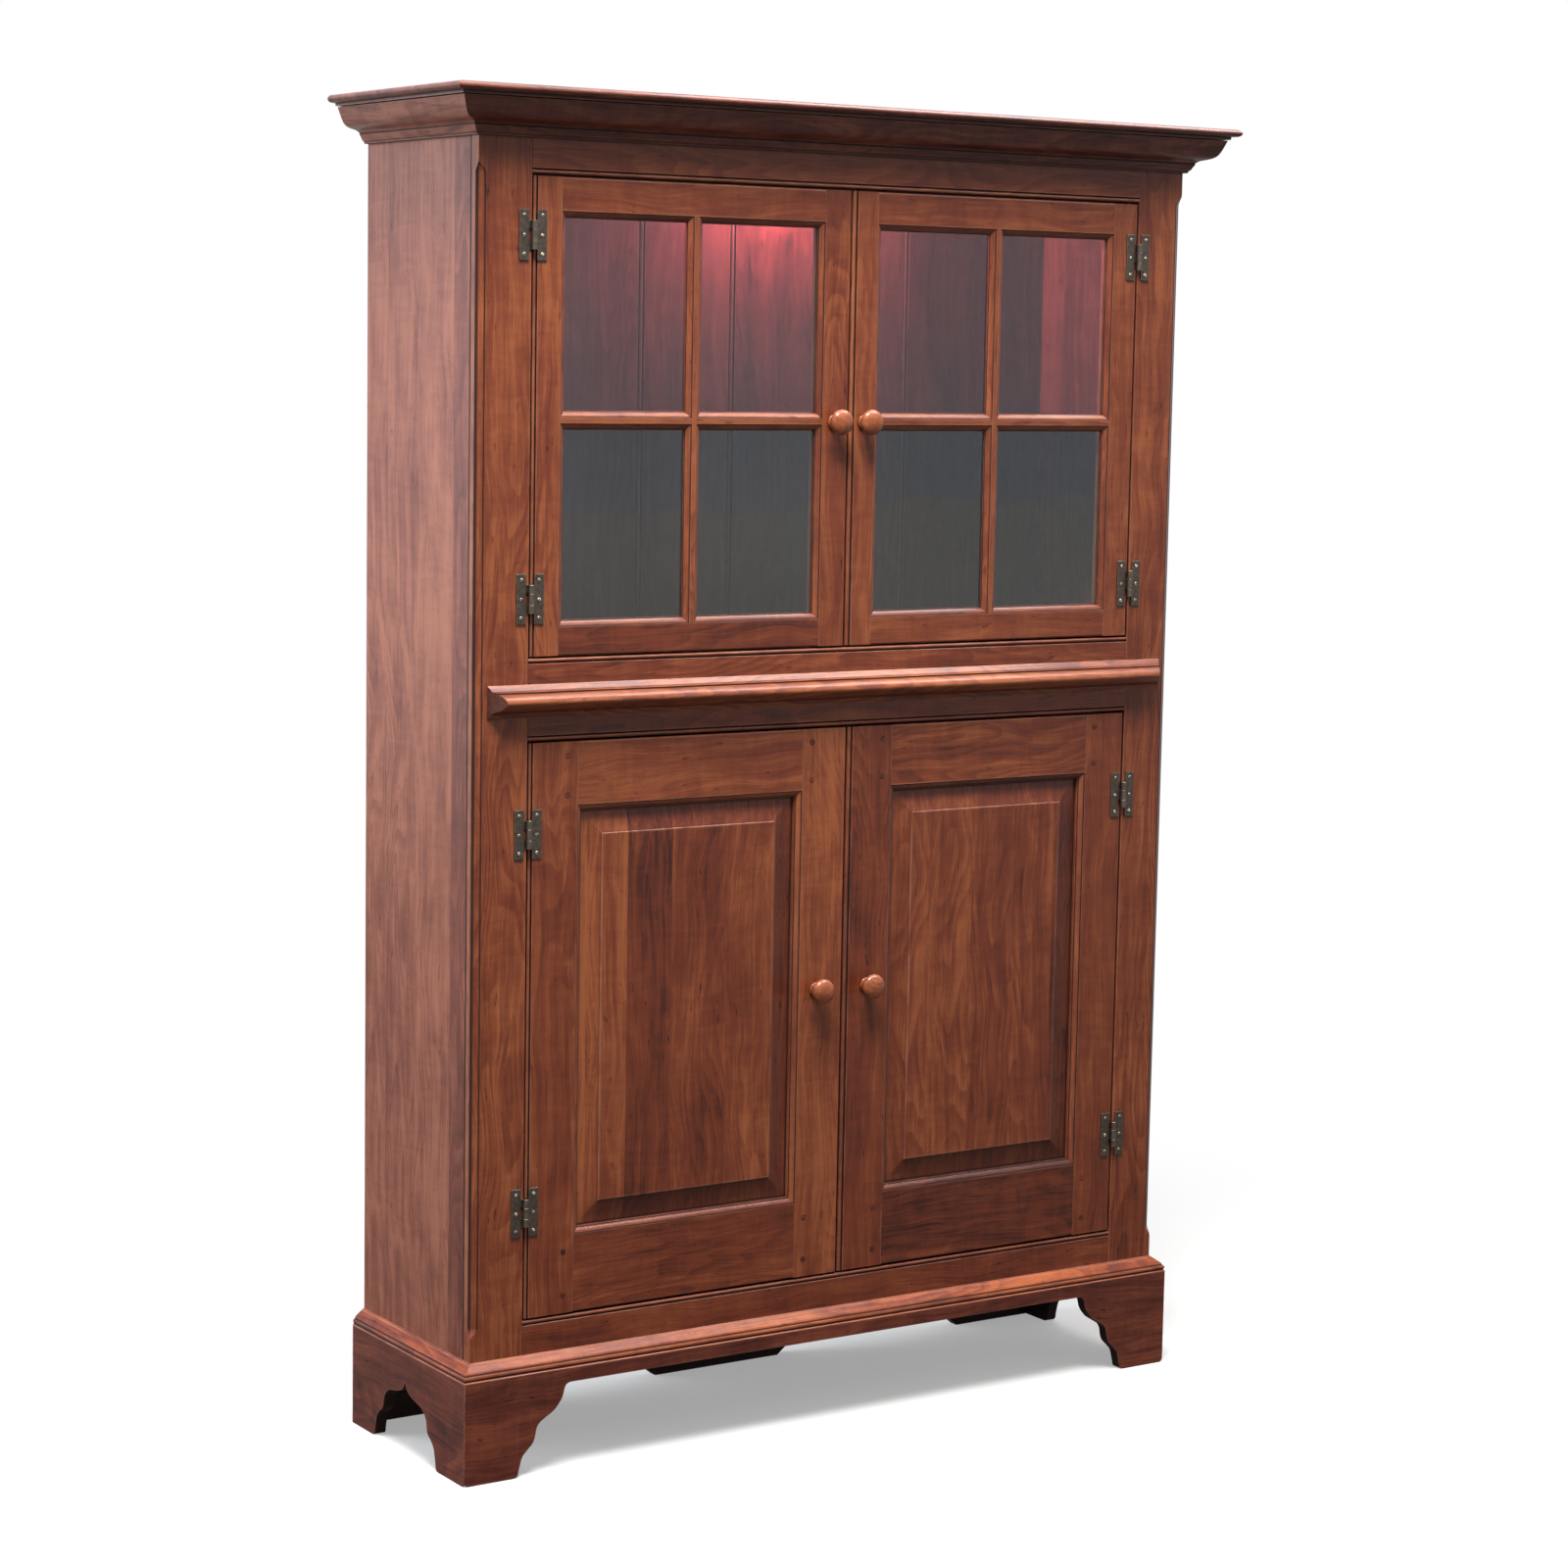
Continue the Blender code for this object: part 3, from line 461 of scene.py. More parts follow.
def mixed(share, a, b):
    """A colour between a and b, each a value or a colour."""
    inputs = {MIX_SHARE: share, MIX_FIRST: a, MIX_SECOND: b}
    return Value(add_node(share.tree, "Mix", inputs, data_type="RGBA"), MIX_RESULT)


def attribute(tree, name, key="Fac"):
    """What one of the mesh's attributes says at a point."""
    return Value(add_node(tree, "Attribute", attribute_name=name), key)


def own_place(tree):
    """Where a point lies in its object."""
    return Value(add_node(tree, "TexCoord"), "Object")


def new_material(name):
    """A new material's node tree and its Principled shader."""
    MATERIALS[name] = made = bpy.data.materials.new(name)
    made.use_nodes = True
    return made.node_tree, made.node_tree.nodes["Principled BSDF"]


def add_relief(shader, height, strength, distance):
    """Shades the surface as if it stood up by the distance times the height."""
    node = add_node(shader.id_data, "Bump", {"Strength": strength, "Distance": distance})
    fill(node, {"Height": height})
    fill(shader, {"Normal": Value(node)})


def blend_shaders(share, first, second):
    """The surface goes from the first shader to the second as share goes from 0 to 1."""
    both = add_node(share.tree, "MixShader", {0: share, 1: Value(first), 2: Value(second)})
    fill(share.tree.nodes["Material Output"], {"Surface": Value(both)})


# %% [markdown]
# ## The stained cherry
# Cherry has a fine, even figure: soft arches, short dark flecks, and a shimmer across the grain.
# The stain is red brown, a dark glaze stays in every corner with painted shade over it, and rubbed
# edges are lightened with painted highlights. One node group makes the colour from a point's
# place in its board, and every wooden finish uses it with its own values.

# %% The cherry node group
# Waves per metre (across, depth, along), then detail, roughness and distortion.
WAVES = {
    "wander": ((5, 5, 3.2), 2.0), "slow": ((10, 10, 1.7), 1.6, 0.5), "present": ((6, 6, 1.1), 1.0),
    "streak": ((70, 70, 1.9), 3.0, 0.6), "fibre": ((330, 330, 11), 3.0, 0.7),
    "fleck": ((150, 150, 34), 2.0, 0.6), "blotch": ((19, 19, 5.5), 4.0, 0.6, 0.5),
    "shimmer": ((15, 15, 55), 2.5, 0.55, 0.9), "rub": ((60, 60, 25), 3.0),
}
FIGURE_WEIGHTS = {"streak": 0.85, "fibre": 0.85, "blotch": 1.15, "shimmer": 0.36}
ARCH_WEIGHT, FLECK_WEIGHT, BOARD_WEIGHT = 0.25, -0.45, 0.60
ARCH_COUNT, SWAY = 21.0, 0.07
RUBBED_AND_HIGHLIGHT, RUB_AND_HIGHLIGHT_SHARE = (0.47, 0.22, 0.145), 0.62
GLAZE_AND_SHADE, GLAZE_AND_SHADE_SHARE, RAGGED = (0.017, 0.006, 0.005), 0.93, 0.25


def cherry_group():
    """Colour, roughness, height and polish of stained cherry at a point of a board."""
    group = bpy.data.node_groups.new("stained cherry", "ShaderNodeTree")
    for way, kinds in (
        ("INPUT", {"Grain": "Vector", "Tone": "Float", "Glued": "Float", "Glaze_and_shade": "Float",
                   "Wear_and_highlight": "Float", "Figure": "Float", "Dark": "Color", "Middle": "Color",
                   "Light": "Color"}),
        ("OUTPUT", {"Color": "Color", "Roughness": "Float", "Height": "Float", "Polish": "Float"}),
    ):
        for title, kind in kinds.items():
            group.interface.new_socket(title, in_out=way, socket_type="NodeSocket" + kind)
    source, result = group.nodes.new("NodeGroupInput"), group.nodes.new("NodeGroupOutput")
    given = {s.name: Value(source, s.name) for s in source.outputs if s.name}

    # The boards of a glued-up panel: cells across its width, each with a tone of its own.
    split = add_node(group, "SeparateXYZ", {0: given["Grain"]})
    across, depth, along = (Value(split, i) for i in range(3))
    cells = add_node(group, "TexVoronoi", voronoi_dimensions="1D")
    fill(cells, {"W": across * given["Glued"], "Scale": 1.0, "Randomness": 0.55})
    split = add_node(group, "SeparateColor", {0: Value(cells, "Color")})
    cell = [Value(split, i) for i in range(3)]
    is_glued = given["Glued"].least(1.0)
    board = (cell[0] - 0.5) * is_glued
    moved = Value(add_node(group, "CombineXYZ", {
        0: across + cell[1] * is_glued, 1: depth, 2: along + cell[2] * is_glued}))

    # The grain wanders from side to side on its way up the board.
    wander = noise(moved, *WAVES["wander"])
    sway = Value(add_node(group, "CombineXYZ", {0: (wander - 0.5) * SWAY}))
    grain = Value(add_node(group, "VectorMath", {0: moved, 1: sway}))

    # Arches: the contour lines of a slow noise that is drawn out along the board. They come
    # and go, as they do where a saw leaves the heart of the tree.
    wave = {key: noise(grain, *form) for key, form in WAVES.items() if key != "wander"}
    rings = (wave["slow"] * ARCH_COUNT).fraction()
    arch = rings.spread(0.0, 0.85) * rings.spread(1.0, 0.90)
    arch = (arch - 0.5) * wave["present"].spread(0.40, 0.60, 0.15, 1.0)

    # The sum of these, round 0.5, picks the colour between dark, middle and light.
    figure = wave["fleck"].spread(0.67, 0.74) * FLECK_WEIGHT + arch * ARCH_WEIGHT
    for key, weight in FIGURE_WEIGHTS.items():
        figure = figure + (wave[key] - 0.5) * weight
    total = given["Tone"] + 0.5 + board * BOARD_WEIGHT + figure * given["Figure"]
    colour = mixed(total.spread(-0.05, 0.55), given["Dark"], given["Middle"])
    colour = mixed(total.spread(0.42, 1.05), colour, given["Light"])

    # Rubbed edges are lighter, from wear and painted highlight, and the darkening in corners,
    # glaze with painted shade, is a little ragged.
    rubbed_and_highlight = given["Wear_and_highlight"] * wave["rub"].spread(0.35, 0.65, 0.25, 0.75)
    colour = mixed(rubbed_and_highlight * RUB_AND_HIGHLIGHT_SHARE, colour, RUBBED_AND_HIGHLIGHT)
    ragged = given["Glaze_and_shade"] + (wave["blotch"] - 0.5) * RAGGED
    shade = ragged.spread(0.08, 0.85) * GLAZE_AND_SHADE_SHARE
    fill(result, {"Color": mixed(shade, colour, GLAZE_AND_SHADE), "Polish": 1.0 - shade,
                  "Roughness": wave["blotch"] * 0.08 + 0.31 + shade * 0.25,
                  "Height": wave["fibre"] * 0.6 + wave["streak"] * 0.5})
    return group


CHERRY = cherry_group()
print("cherry group", len(CHERRY.nodes), "nodes")

# %% [markdown]
# ## The wooden finishes
# The same cherry is lighter on the frame and doors, redder and darker on the base, and bare of
# lacquer inside. Corners between pieces are darkened through ambient occlusion: painted shade,
# added to the glaze.


# %% Wood materials
def wood_material(slot, dark, middle, light, coat=0.12, shine=0.30, coat_roughness=0.12,
                  reach=7 * MM, figure=1.0):
    """Cherry between three colours. reach is how far from a corner ambient occlusion paints shade.
    """
    tree, shader = new_material(slot)
    glaze_and_shade = attribute(tree, "glaze_and_shade")
    if reach:
        # Painted shade: ambient occlusion darkens the colour in corners between pieces.
        occlusion_shade = add_node(tree, "AmbientOcclusion", {"Distance": reach}, samples=6)
        glaze_and_shade = glaze_and_shade.most(Value(occlusion_shade, "AO").spread(0.80, 0.10, 0.0, 0.80))
    cherry = add_node(tree, "Group", node_tree=CHERRY)
    fill(cherry, {"Grain": attribute(tree, "grain", "Vector"), "Glaze_and_shade": glaze_and_shade, "Figure": figure,
                  "Dark": dark, "Middle": middle, "Light": light})
    fill(cherry, {key: attribute(tree, key.lower()) for key in ("Tone", "Glued", "Wear_and_highlight")})
    fill(shader, {"Base Color": Value(cherry, "Color"), "Roughness": Value(cherry, "Roughness"),
                  "Coat Weight": Value(cherry, "Polish") * coat,
                  "Specular IOR Level": shine, "Coat Roughness": coat_roughness})
    add_relief(shader, Value(cherry, "Height"), 0.3, 0.12 * MM)


DOOR_COLOURS = (0.046, 0.009, 0.006), (0.180, 0.039, 0.016), (0.36, 0.108, 0.040)
wood_material("case_wood", (0.060, 0.014, 0.010), (0.185, 0.048, 0.029), (0.38, 0.135, 0.080),
              figure=0.8)
wood_material("frame_wood", *DOOR_COLOURS, figure=0.85)
wood_material("door_wood", *DOOR_COLOURS, figure=0.82)
wood_material("moulding_wood", (0.040, 0.008, 0.006), (0.175, 0.037, 0.016), (0.38, 0.11, 0.036))
# The crown's palette is purple grey: partly the wood's colour, partly painted sheen.
wood_material("crown_wood_and_sheen", (0.035, 0.009, 0.008), (0.135, 0.034, 0.022), (0.32, 0.115, 0.070))
wood_material("base_moulding_wood", (0.045, 0.008, 0.005), (0.19, 0.036, 0.013),
              (0.42, 0.105, 0.030), coat=0.06, shine=0.16)
wood_material("knob_wood", (0.08, 0.015, 0.007), (0.26, 0.062, 0.020), (0.44, 0.130, 0.044),
              coat=0.4, coat_roughness=0.06)
wood_material("inside_wood", (0.05, 0.016, 0.012), (0.13, 0.042, 0.030), (0.22, 0.085, 0.055),
              coat=0.03, reach=0, figure=0.8)
wood_material("base_wood", (0.026, 0.005, 0.004), (0.110, 0.023, 0.013), (0.24, 0.062, 0.030))
print("wooden finishes", len(MATERIALS))

# %% [markdown]
# ## Brass and glass
# The hinges are brass that was darkened in a bath: brown grey in the flats, brighter where hands
# and screwdrivers touch. The panes are plain glass, a little green and not quite flat.


# %% Metal and glass materials
def brass_material(slot):
    """Brass between two browns that a cloud of noise picks, rubbed bright or left dark."""
    tree, shader = new_material(slot)
    cloud = noise(own_place(tree), (140, 140, 140), 4.0, 0.65)
    speck = noise(own_place(tree), (900, 900, 900), 2.0).spread(0.35, 0.7)
    colour = mixed(cloud.spread(0.3, 0.75), (0.078, 0.060, 0.048), (0.135, 0.106, 0.083))
    rub = attribute(tree, "wear_and_highlight") * cloud.spread(0.2, 0.7, 0.4, 1.0)
    colour = mixed(rub, colour, (0.40, 0.34, 0.25))
    colour = mixed(attribute(tree, "glaze_and_shade") * 0.9, colour, (0.012, 0.010, 0.008))
    fill(shader, {"Base Color": colour, "Roughness": speck * 0.16 + 0.34, "Metallic": 0.85})
    add_relief(shader, cloud, 0.25, 0.1 * MM)


def glass_material(slot):
    """Clear glass that lets light and shadows through without bending them."""
    tree, shader = new_material(slot)
    wave = noise(own_place(tree), (9, 9, 5), 2.0, 0.45, 0.8)
    fill(shader, {"Base Color": mixed(wave, (0.86, 0.92, 0.89), (0.80, 0.88, 0.86)),
                  "Roughness": 0.0, "IOR": 1.5, "Transmission Weight": 1.0})
    add_relief(shader, wave, 0.04, 1.0 * MM)
    clear = add_node(tree, "BsdfTransparent", {"Color": (0.80, 0.86, 0.84)})
    path = add_node(tree, "LightPath")
    either = Value(path, "Is Shadow Ray").most(Value(path, "Is Diffuse Ray"))
    blend_shaders(either, shader, clear)


brass_material("hinge_metal")
glass_material("pane_glass")

# %% [markdown]
# ## Case boards
# The sides are glued up from boards about 100 mm wide. Shelves and floors run from side to side.
# Plain boards need little more than eased edges, so their boxes are read from the frame.

# %% Sides, shelves and floors
SIDE_BOARDS, SHELF_BOARDS = 9.5, 8.0  # boards per metre
JOINT_REACH = 1.4 * MM
for name, tone in (("left_side", 0.12), ("right_side", 0.02)):
    low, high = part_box(name)
    board = block(low, high, "z", grain="yxz", tone=tone, glued=SIDE_BOARDS)
    joint = bell(board["verts"][:, 1] - low.y, JOINT_REACH)
    board["glaze_and_shade"] = np.maximum(board["glaze_and_shade"], joint)
    board["wear_and_highlight"] = board["wear_and_highlight"] * (1 - joint)
    piece(name + "_board", "case", "case_wood", [board], name)
for name, tone in (("upper_shelf", 0.0), ("lower_shelf", 0.05), ("deck", 0.0),
                   ("bottom_board", -0.05)):
    low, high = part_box(name)
    board = block(low, high, "x", grain="yzx", tone=tone, glued=SHELF_BOARDS)
    piece(name + "_board", "case", "inside_wood", [board], name)

# %% [markdown]
# ## Back boards
# The back is made of upright boards. Each has a bead down its right edge, between two narrow
# grooves, so that the joint hides when the wood moves.

# %% Bead outline and back boards
QUIRK, QUIRK_DEPTH, LIP = 2.2 * MM, 4.0 * MM, 0.25 * MM


def bead(width, steps=12):
    """A bead on an edge, as (distance from the edge, depth) from the face to the edge.

    The bead is half a circle flush with the face. The groove beside it has a round bottom.
    """
    radius, quirk, floor = width / 2, QUIRK / 2, QUIRK_DEPTH - QUIRK / 2
    t = np.linspace(0, math.pi, steps + 1)
    half = np.stack([radius + radius * np.cos(t), radius - radius * np.sin(t)], axis=1)
    g = np.linspace(0, math.pi, 5)[1:-1]
    groove = np.stack([width + quirk + quirk * np.cos(g), floor + quirk * np.sin(g)], axis=1)
    lip = [(width + QUIRK + LIP, 0.0), (width + QUIRK, LIP), (width + QUIRK, floor)]
    return np.vstack([lip, groove, [(width, floor)], half])


low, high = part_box("back_panel")
BACK_PITCH, BACK_BEAD = 177 * MM, 7 * MM
BACK_TONES = (0.05, -0.12, 0.10, 0.0, -0.06, 0.12, -0.05, 0.08)
TONGUE_HALF, TONGUE_NEAR, TONGUE_FAR, TONGUE_SHORT = 3 * MM, 5.5 * MM, 8.5 * MM, 1 * MM
edges = [low.x] + [j * BACK_PITCH + BACK_BEAD / 2 for j in range(-3, 4)] + [high.x]
boards = []
for i, (left, right) in enumerate(zip(edges, edges[1:])):
    outline = [(left, high.y), (left, low.y)]
    if i:
        step = low.y + QUIRK_DEPTH
        outline = [(left + FIT / 2, high.y), (left + FIT / 2, step), (left + QUIRK, step),
                   (left + QUIRK, low.y)]
    is_last = i == len(edges) - 2
    if is_last:
        outline += [(right, low.y), (right, high.y)]
    else:
        outline += [(right - FIT / 2 - a, low.y + b) for a, b in bead(BACK_BEAD)]
        outline += [(right - FIT / 2, high.y)]
    boards.append(bar(guarded(outline), (ORIGIN, X, Y, Z), low.z, high.z, tone=BACK_TONES[i]))
    if not is_last:
        # The tongue that closes the joint.
        boards.append(block(
            (right - TONGUE_HALF, low.y + TONGUE_NEAR, low.z + TONGUE_SHORT),
            (right + TONGUE_HALF, low.y + TONGUE_FAR, high.z - TONGUE_SHORT), tone=-0.3))
piece("back_boards", "case", "inside_wood", boards, "back_panel")
print("back boards", len(boards))

# %% [markdown]
# ## Face frame
# The stiles have a chamfer on the outer corner that runs out in a soft stop near each end. The
# rails carry a bead along every door opening.

# %% Stiles with a stopped chamfer
CHAMFER, STOP, CHAMFER_SIDE_SHARE = 11.5 * MM, 20 * MM, 0.74
CHAMFER_FOOT, CHAMFER_TOP = 0.224, 2.026
SCRATCH_DEEP, SCRATCH_WIDE, HAIR = 0.9 * MM, 1.3 * MM, 0.02 * MM
# Painted shade across the chamfer, darkest by the side and at the front edge, as (share of its
# width from the side, shade).
CHAMFER_SHADE = ((0.0, 1.0), (0.13, 1.0), (0.25, 0.75), (0.38, 0.12), (0.60, 0.0), (0.86, 0.05),
                 (0.93, 0.7), (1.0, 0.8))


def chamfer_leg(z):
    """The chamfer's leg at a height: half a cosine wave over the length of each stop."""
    share = np.clip(np.minimum(z - CHAMFER_FOOT, CHAMFER_TOP - z) / STOP, 0, 1)
    return CHAMFER * (1 - np.cos(math.pi * share)) / 2


def chamfered_stile(side, low, high, tone):
    """Rings up the stile. The dark lines beside the chamfer are shallow scratches, whose depth
    follows the chamfer's leg."""
    stop = np.linspace(0, 1, 15) * STOP
    heights = [low.z, low.z + 3 * MM, CHAMFER_FOOT - 2 * MM, *(CHAMFER_FOOT + stop),
               *(CHAMFER_TOP - stop[::-1]), CHAMFER_TOP + 2 * MM, high.z - 3 * MM, high.z]
    across, deep_in = high.x - low.x, high.y - low.y
    rings, glaze_and_shade, wear_and_highlight = [], [], []
    for z in heights:
        leg = max(chamfer_leg(z), 0.15 * MM)
        fade = min(leg / CHAMFER, 1)
        deep, wide = SCRATCH_DEEP * fade, SCRATCH_WIDE * fade + HAIR
        side_leg = leg * CHAMFER_SIDE_SHARE
        # (distance from the outer face, depth from the front, glaze and painted shade, wear and
        # painted highlight)
        rows = [(across, deep_in, 0, 0), (1.5 * MM, deep_in, 1, 0), (0, deep_in - 1.7 * MM, 1, 0),
                (0, deep_in - 3 * MM, 0, 0.6), (0, side_leg + wide + 3 * MM, 0, 0.6),
                (0, side_leg + wide, 0.3, 0.5), (deep, side_leg + wide * 0.5, 1, 0)]
        rows += [(HAIR + t * leg, HAIR + (1 - t) * side_leg, shade, 0)
                 for t, shade in CHAMFER_SHADE]
        rows += [(leg + wide * 0.5, deep, 1, 0), (leg + wide, 0, 0.35, 0.2),
                 (leg + wide + 3 * MM, 0, 0, 0), (across - 3 * MM, 0, 0, 0),
                 (across - 0.5 * MM, 0, 0, 0.6), (across, 0.5 * MM, 0, 0.6),
                 (across, 3 * MM, 0, 0)]
        out, depth, shade, rub = np.array(rows).T
        rings.append(np.stack([side * (high.x - out), low.y + depth, np.full(len(out), z)], 1))
        end = 0.7 if CHAMFER_TOP - 9 * MM < z <= CHAMFER_TOP + 1 * MM else 0.0
        glaze_and_shade.append(np.maximum(shade * fade, end * (out < leg) * (depth < leg)))
        wear_and_highlight.append(rub * np.where(out < across / 2, fade, 1))
    return shell(rings, (np.array(glaze_and_shade), np.array(wear_and_highlight)), tone=tone)


low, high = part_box("face_stile_right")
for name, side, tone in (("left", -1, 0.08), ("right", 1, 0.10)):
    stile = chamfered_stile(side, low, high, tone)
    piece(f"frame_stile_{name}", "case", "frame_wood", [stile], f"face_stile_{name}")

# %% Rails with beads, and door stops
RAIL_BEAD = 5.6 * MM
# The top rail's tone is raised to lighten the crown's shadow on it: painted light.
for name, tone, below, above in (("top", 0.14, True, False), ("middle", -0.02, True, True),
                                 ("bottom", -0.10, False, True)):
    low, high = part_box(f"face_rail_{name}")
    outline = [(high.z, high.y), (low.z, high.y)]
    outline += ([(low.z + a, low.y + b) for a, b in bead(RAIL_BEAD)[::-1]] if below
                else [(low.z, low.y)])
    outline += ([(high.z - a, low.y + b) for a, b in bead(RAIL_BEAD)] if above
                else [(high.z, low.y)])
    rail = bar(guarded(outline), (ORIGIN, Z, Y, X), low.x, high.x, grain="zyx", tone=tone)
    piece(f"frame_rail_{name}", "case", "frame_wood", [rail], f"face_rail_{name}")

STOP_EDGES, STOP_SHORT, STOP_FRONT, STOP_BACK = (2.009, 1.153), 2 * MM, 24.3 * MM, 36 * MM
STOP_DOWN, STOP_UP = 12 * MM, 24 * MM
stops = [block((-OPENING + STOP_SHORT, FACE + STOP_FRONT, edge - STOP_DOWN),
               (OPENING - STOP_SHORT, FACE + STOP_BACK, edge + STOP_UP), "x",
               grain="yzx", tone=-0.1) for edge in STOP_EDGES]
piece("door_stops", "case", "inside_wood", stops)

# %% [markdown]
# ## Crown, waist and base mouldings
# A moulding is one outline carried along the front and back along the sides, with mitred corners:
# at a mitre each point runs on by as much as it stands out.

# %% Mouldings round three sides
CROWN_REACH, BOARD, CROWN_TALL = 70 * MM, 17 * MM, 55.7 * MM
CROWN_FOOT = TOP - BOARD - CROWN_TALL
LINE_REACH, MITRE_GAP = 0.9 * MM, 0.1 * MM


def lined(outline, dark, light=()):
    """The glaze with painted shade and the wear with painted highlight of an outline (out,
    height), with dark lines of painted shade at the heights in dark and light lines of painted
    highlight
    at those in light: a bell curve of the distance from each."""
    glaze_and_shade, wear_and_highlight = stain_and_painted_light(outline)
    height = outline[:, 1:]
    if len(light):
        rub = bell(height - light, 0.8 * LINE_REACH).max(axis=1)
        wear_and_highlight, glaze_and_shade = np.maximum(wear_and_highlight, rub), glaze_and_shade * (1 - rub)
    line = bell(height - dark, LINE_REACH).max(axis=1)
    return np.maximum(glaze_and_shade, line * (outline[:, 0] > 1 * MM)), wear_and_highlight


def three_runs(outline, tones, dark, light=()):
    """Left, front and right runs of an outline (out, height) round the case, mitred, with painted
    shade lines at the heights in dark and painted highlight lines at those in light.
    """
    outline = guarded(outline)
    stains_and_painted_light = lined(outline, dark, light)
    out = outline[:, 0]
    side_run = FACE - out + MITRE_GAP, BACK
    front_run = -SIDE - out + MITRE_GAP, SIDE + out - MITRE_GAP
    runs = (((-SIDE * X, -X, Z, Y), side_run, "zxy"), ((FRONT, -Y, Z, X), front_run, "zyx"),
            ((SIDE * X, X, Z, Y), side_run, "zxy"))
    return [bar(outline, place, *run, stains_and_painted_light=stains_and_painted_light, grain=grain, tone=tone)
            for (place, run, grain), tone in zip(runs, tones)]


CROWN_SHARES = (
    (0.086, 0), (0.1, 0.054), (0.136, 0.09), (0.17, 0.17), (0.211, 0.25), (0.203, 0.275),
    (0.236, 0.32), (0.3, 0.365), (0.406, 0.4), (0.514, 0.45), (0.593, 0.53), (0.643, 0.637),
    (0.686, 0.763), (0.724, 0.889), (0.753, 0.977),
)
CROWN_SHADE_LINES = CROWN_FOOT + np.array((0.0, 0.262, 0.985)) * CROWN_TALL
sized = np.array(CROWN_SHARES) * (CROWN_REACH, CROWN_TALL) + (0, CROWN_FOOT)
crown = [(FIT, CROWN_FOOT), *flowing(sized[:5]), *flowing(sized[5:]), (FIT, TOP - BOARD)]
# The left run is lighter for the sheen on it, and the front run's tone is raised to lighten its
# shade: painted light.
piece("crown_moulding", "case", "moulding_wood",
      three_runs(crown, (0.28, 0.06, 0.05), CROWN_SHADE_LINES), "cornice", material="crown_wood_and_sheen")

BOARD_EDGE_SHARES = (
    (0.8, 0), (0.807, 0.24), (0.857, 0.26), (0.943, 0.32), (0.986, 0.47), (1, 0.65), (0.98, 0.82),
    (0.937, 0.95), (0.886, 1),
)
sized = np.array(BOARD_EDGE_SHARES) * (CROWN_REACH, BOARD) + (0, TOP - BOARD)
edge = np.vstack([sized[:1], flowing(sized[1:])])
closed = np.vstack([edge, [(0.0, TOP), (0.0, TOP - BOARD)]])
glaze_and_shade, wear_and_highlight = (v[:len(edge)] for v in stain_and_painted_light(anticlockwise(closed)))
levels = [(edge[0, 0] - 12 * MM, edge[0, 1], 0.6, 0.0)]
levels += [(a, z, g, w) for (a, z), g, w in zip(edge, glaze_and_shade, wear_and_highlight)]
levels += [(edge[-1, 0] - 2 * MM, TOP, 0, 0.2), (edge[-1, 0] - 8 * MM, TOP, 0, 0.0)]
rings = [[(-SIDE - a, BACK, z), (-SIDE - a, FACE - a, z), (SIDE + a, FACE - a, z),
          (SIDE + a, BACK, z)] for a, z, _, _ in levels]
board = shell(rings, marks(levels), grain="yzx", tone=0.05, glued=7.0)
piece("top_board", "case", "moulding_wood", [board], material="crown_wood_and_sheen")

# %% Waist moulding
WAIST_HALF, WAIST_FOOT, WAIST_TALL = 0.651, 1.188, 52 * MM
WAIST_OUT, WAIST_BEVEL, WAIST_END, END_SHADE = 30 * MM, 20 * MM, 0.3 * MM, 0.62
WAIST_SHARES = (
    (0.07, 0.05), (0.14, 0.115), (0.25, 0.19), (0.4, 0.24), (0.67, 0.296), (0.81, 0.363),
    (0.95, 0.43), (1, 0.496), (0.98, 0.56), (0.89, 0.643), (0.73, 0.716), (0.57, 0.756),
    (0.51, 0.77), (0.53, 0.805), (0.27, 0.832), (0.11, 0.935),
)
WAIST_SHADE_LINES = WAIST_FOOT + np.array((0.0, 0.19, 0.770, 1.0)) * WAIST_TALL
sized = np.array(WAIST_SHARES) * (WAIST_OUT, WAIST_TALL) + (0, WAIST_FOOT)
curve = np.vstack([flowing(sized[:4]), flowing(sized[4:13]), sized[13:]])
outline = guarded([(FIT, WAIST_FOOT), *curve, (FIT, WAIST_FOOT + WAIST_TALL)])
half = WAIST_HALF - WAIST_BEVEL / WAIST_OUT * outline[:, 0]
glaze_and_shade, wear_and_highlight = lined(outline, WAIST_SHADE_LINES)
# Painted shade: the two end faces of the band are darkened all over.
shaded_end, no_wear_or_highlight = np.full(len(outline), END_SHADE), np.zeros(len(outline))
rings = [at((FRONT, -Y, Z, X), *outline.T, w)
         for w in (-half, -half + WAIST_END, half - WAIST_END, half)]
stains_and_painted_light = (np.array([shaded_end, glaze_and_shade, glaze_and_shade, shaded_end]), np.array([no_wear_or_highlight, wear_and_highlight, wear_and_highlight, no_wear_or_highlight]))
waist = shell(rings, stains_and_painted_light, grain="zyx", tone=0.15)
piece("waist_band", "case", "moulding_wood", [waist], "waist_moulding")

# %% [markdown]
# ## Base with bracket feet
# Three boards are cut out below into scrolled feet. Their corners are mitred, and the moulded top
# edge runs round above them. The skirt at the back is plain.

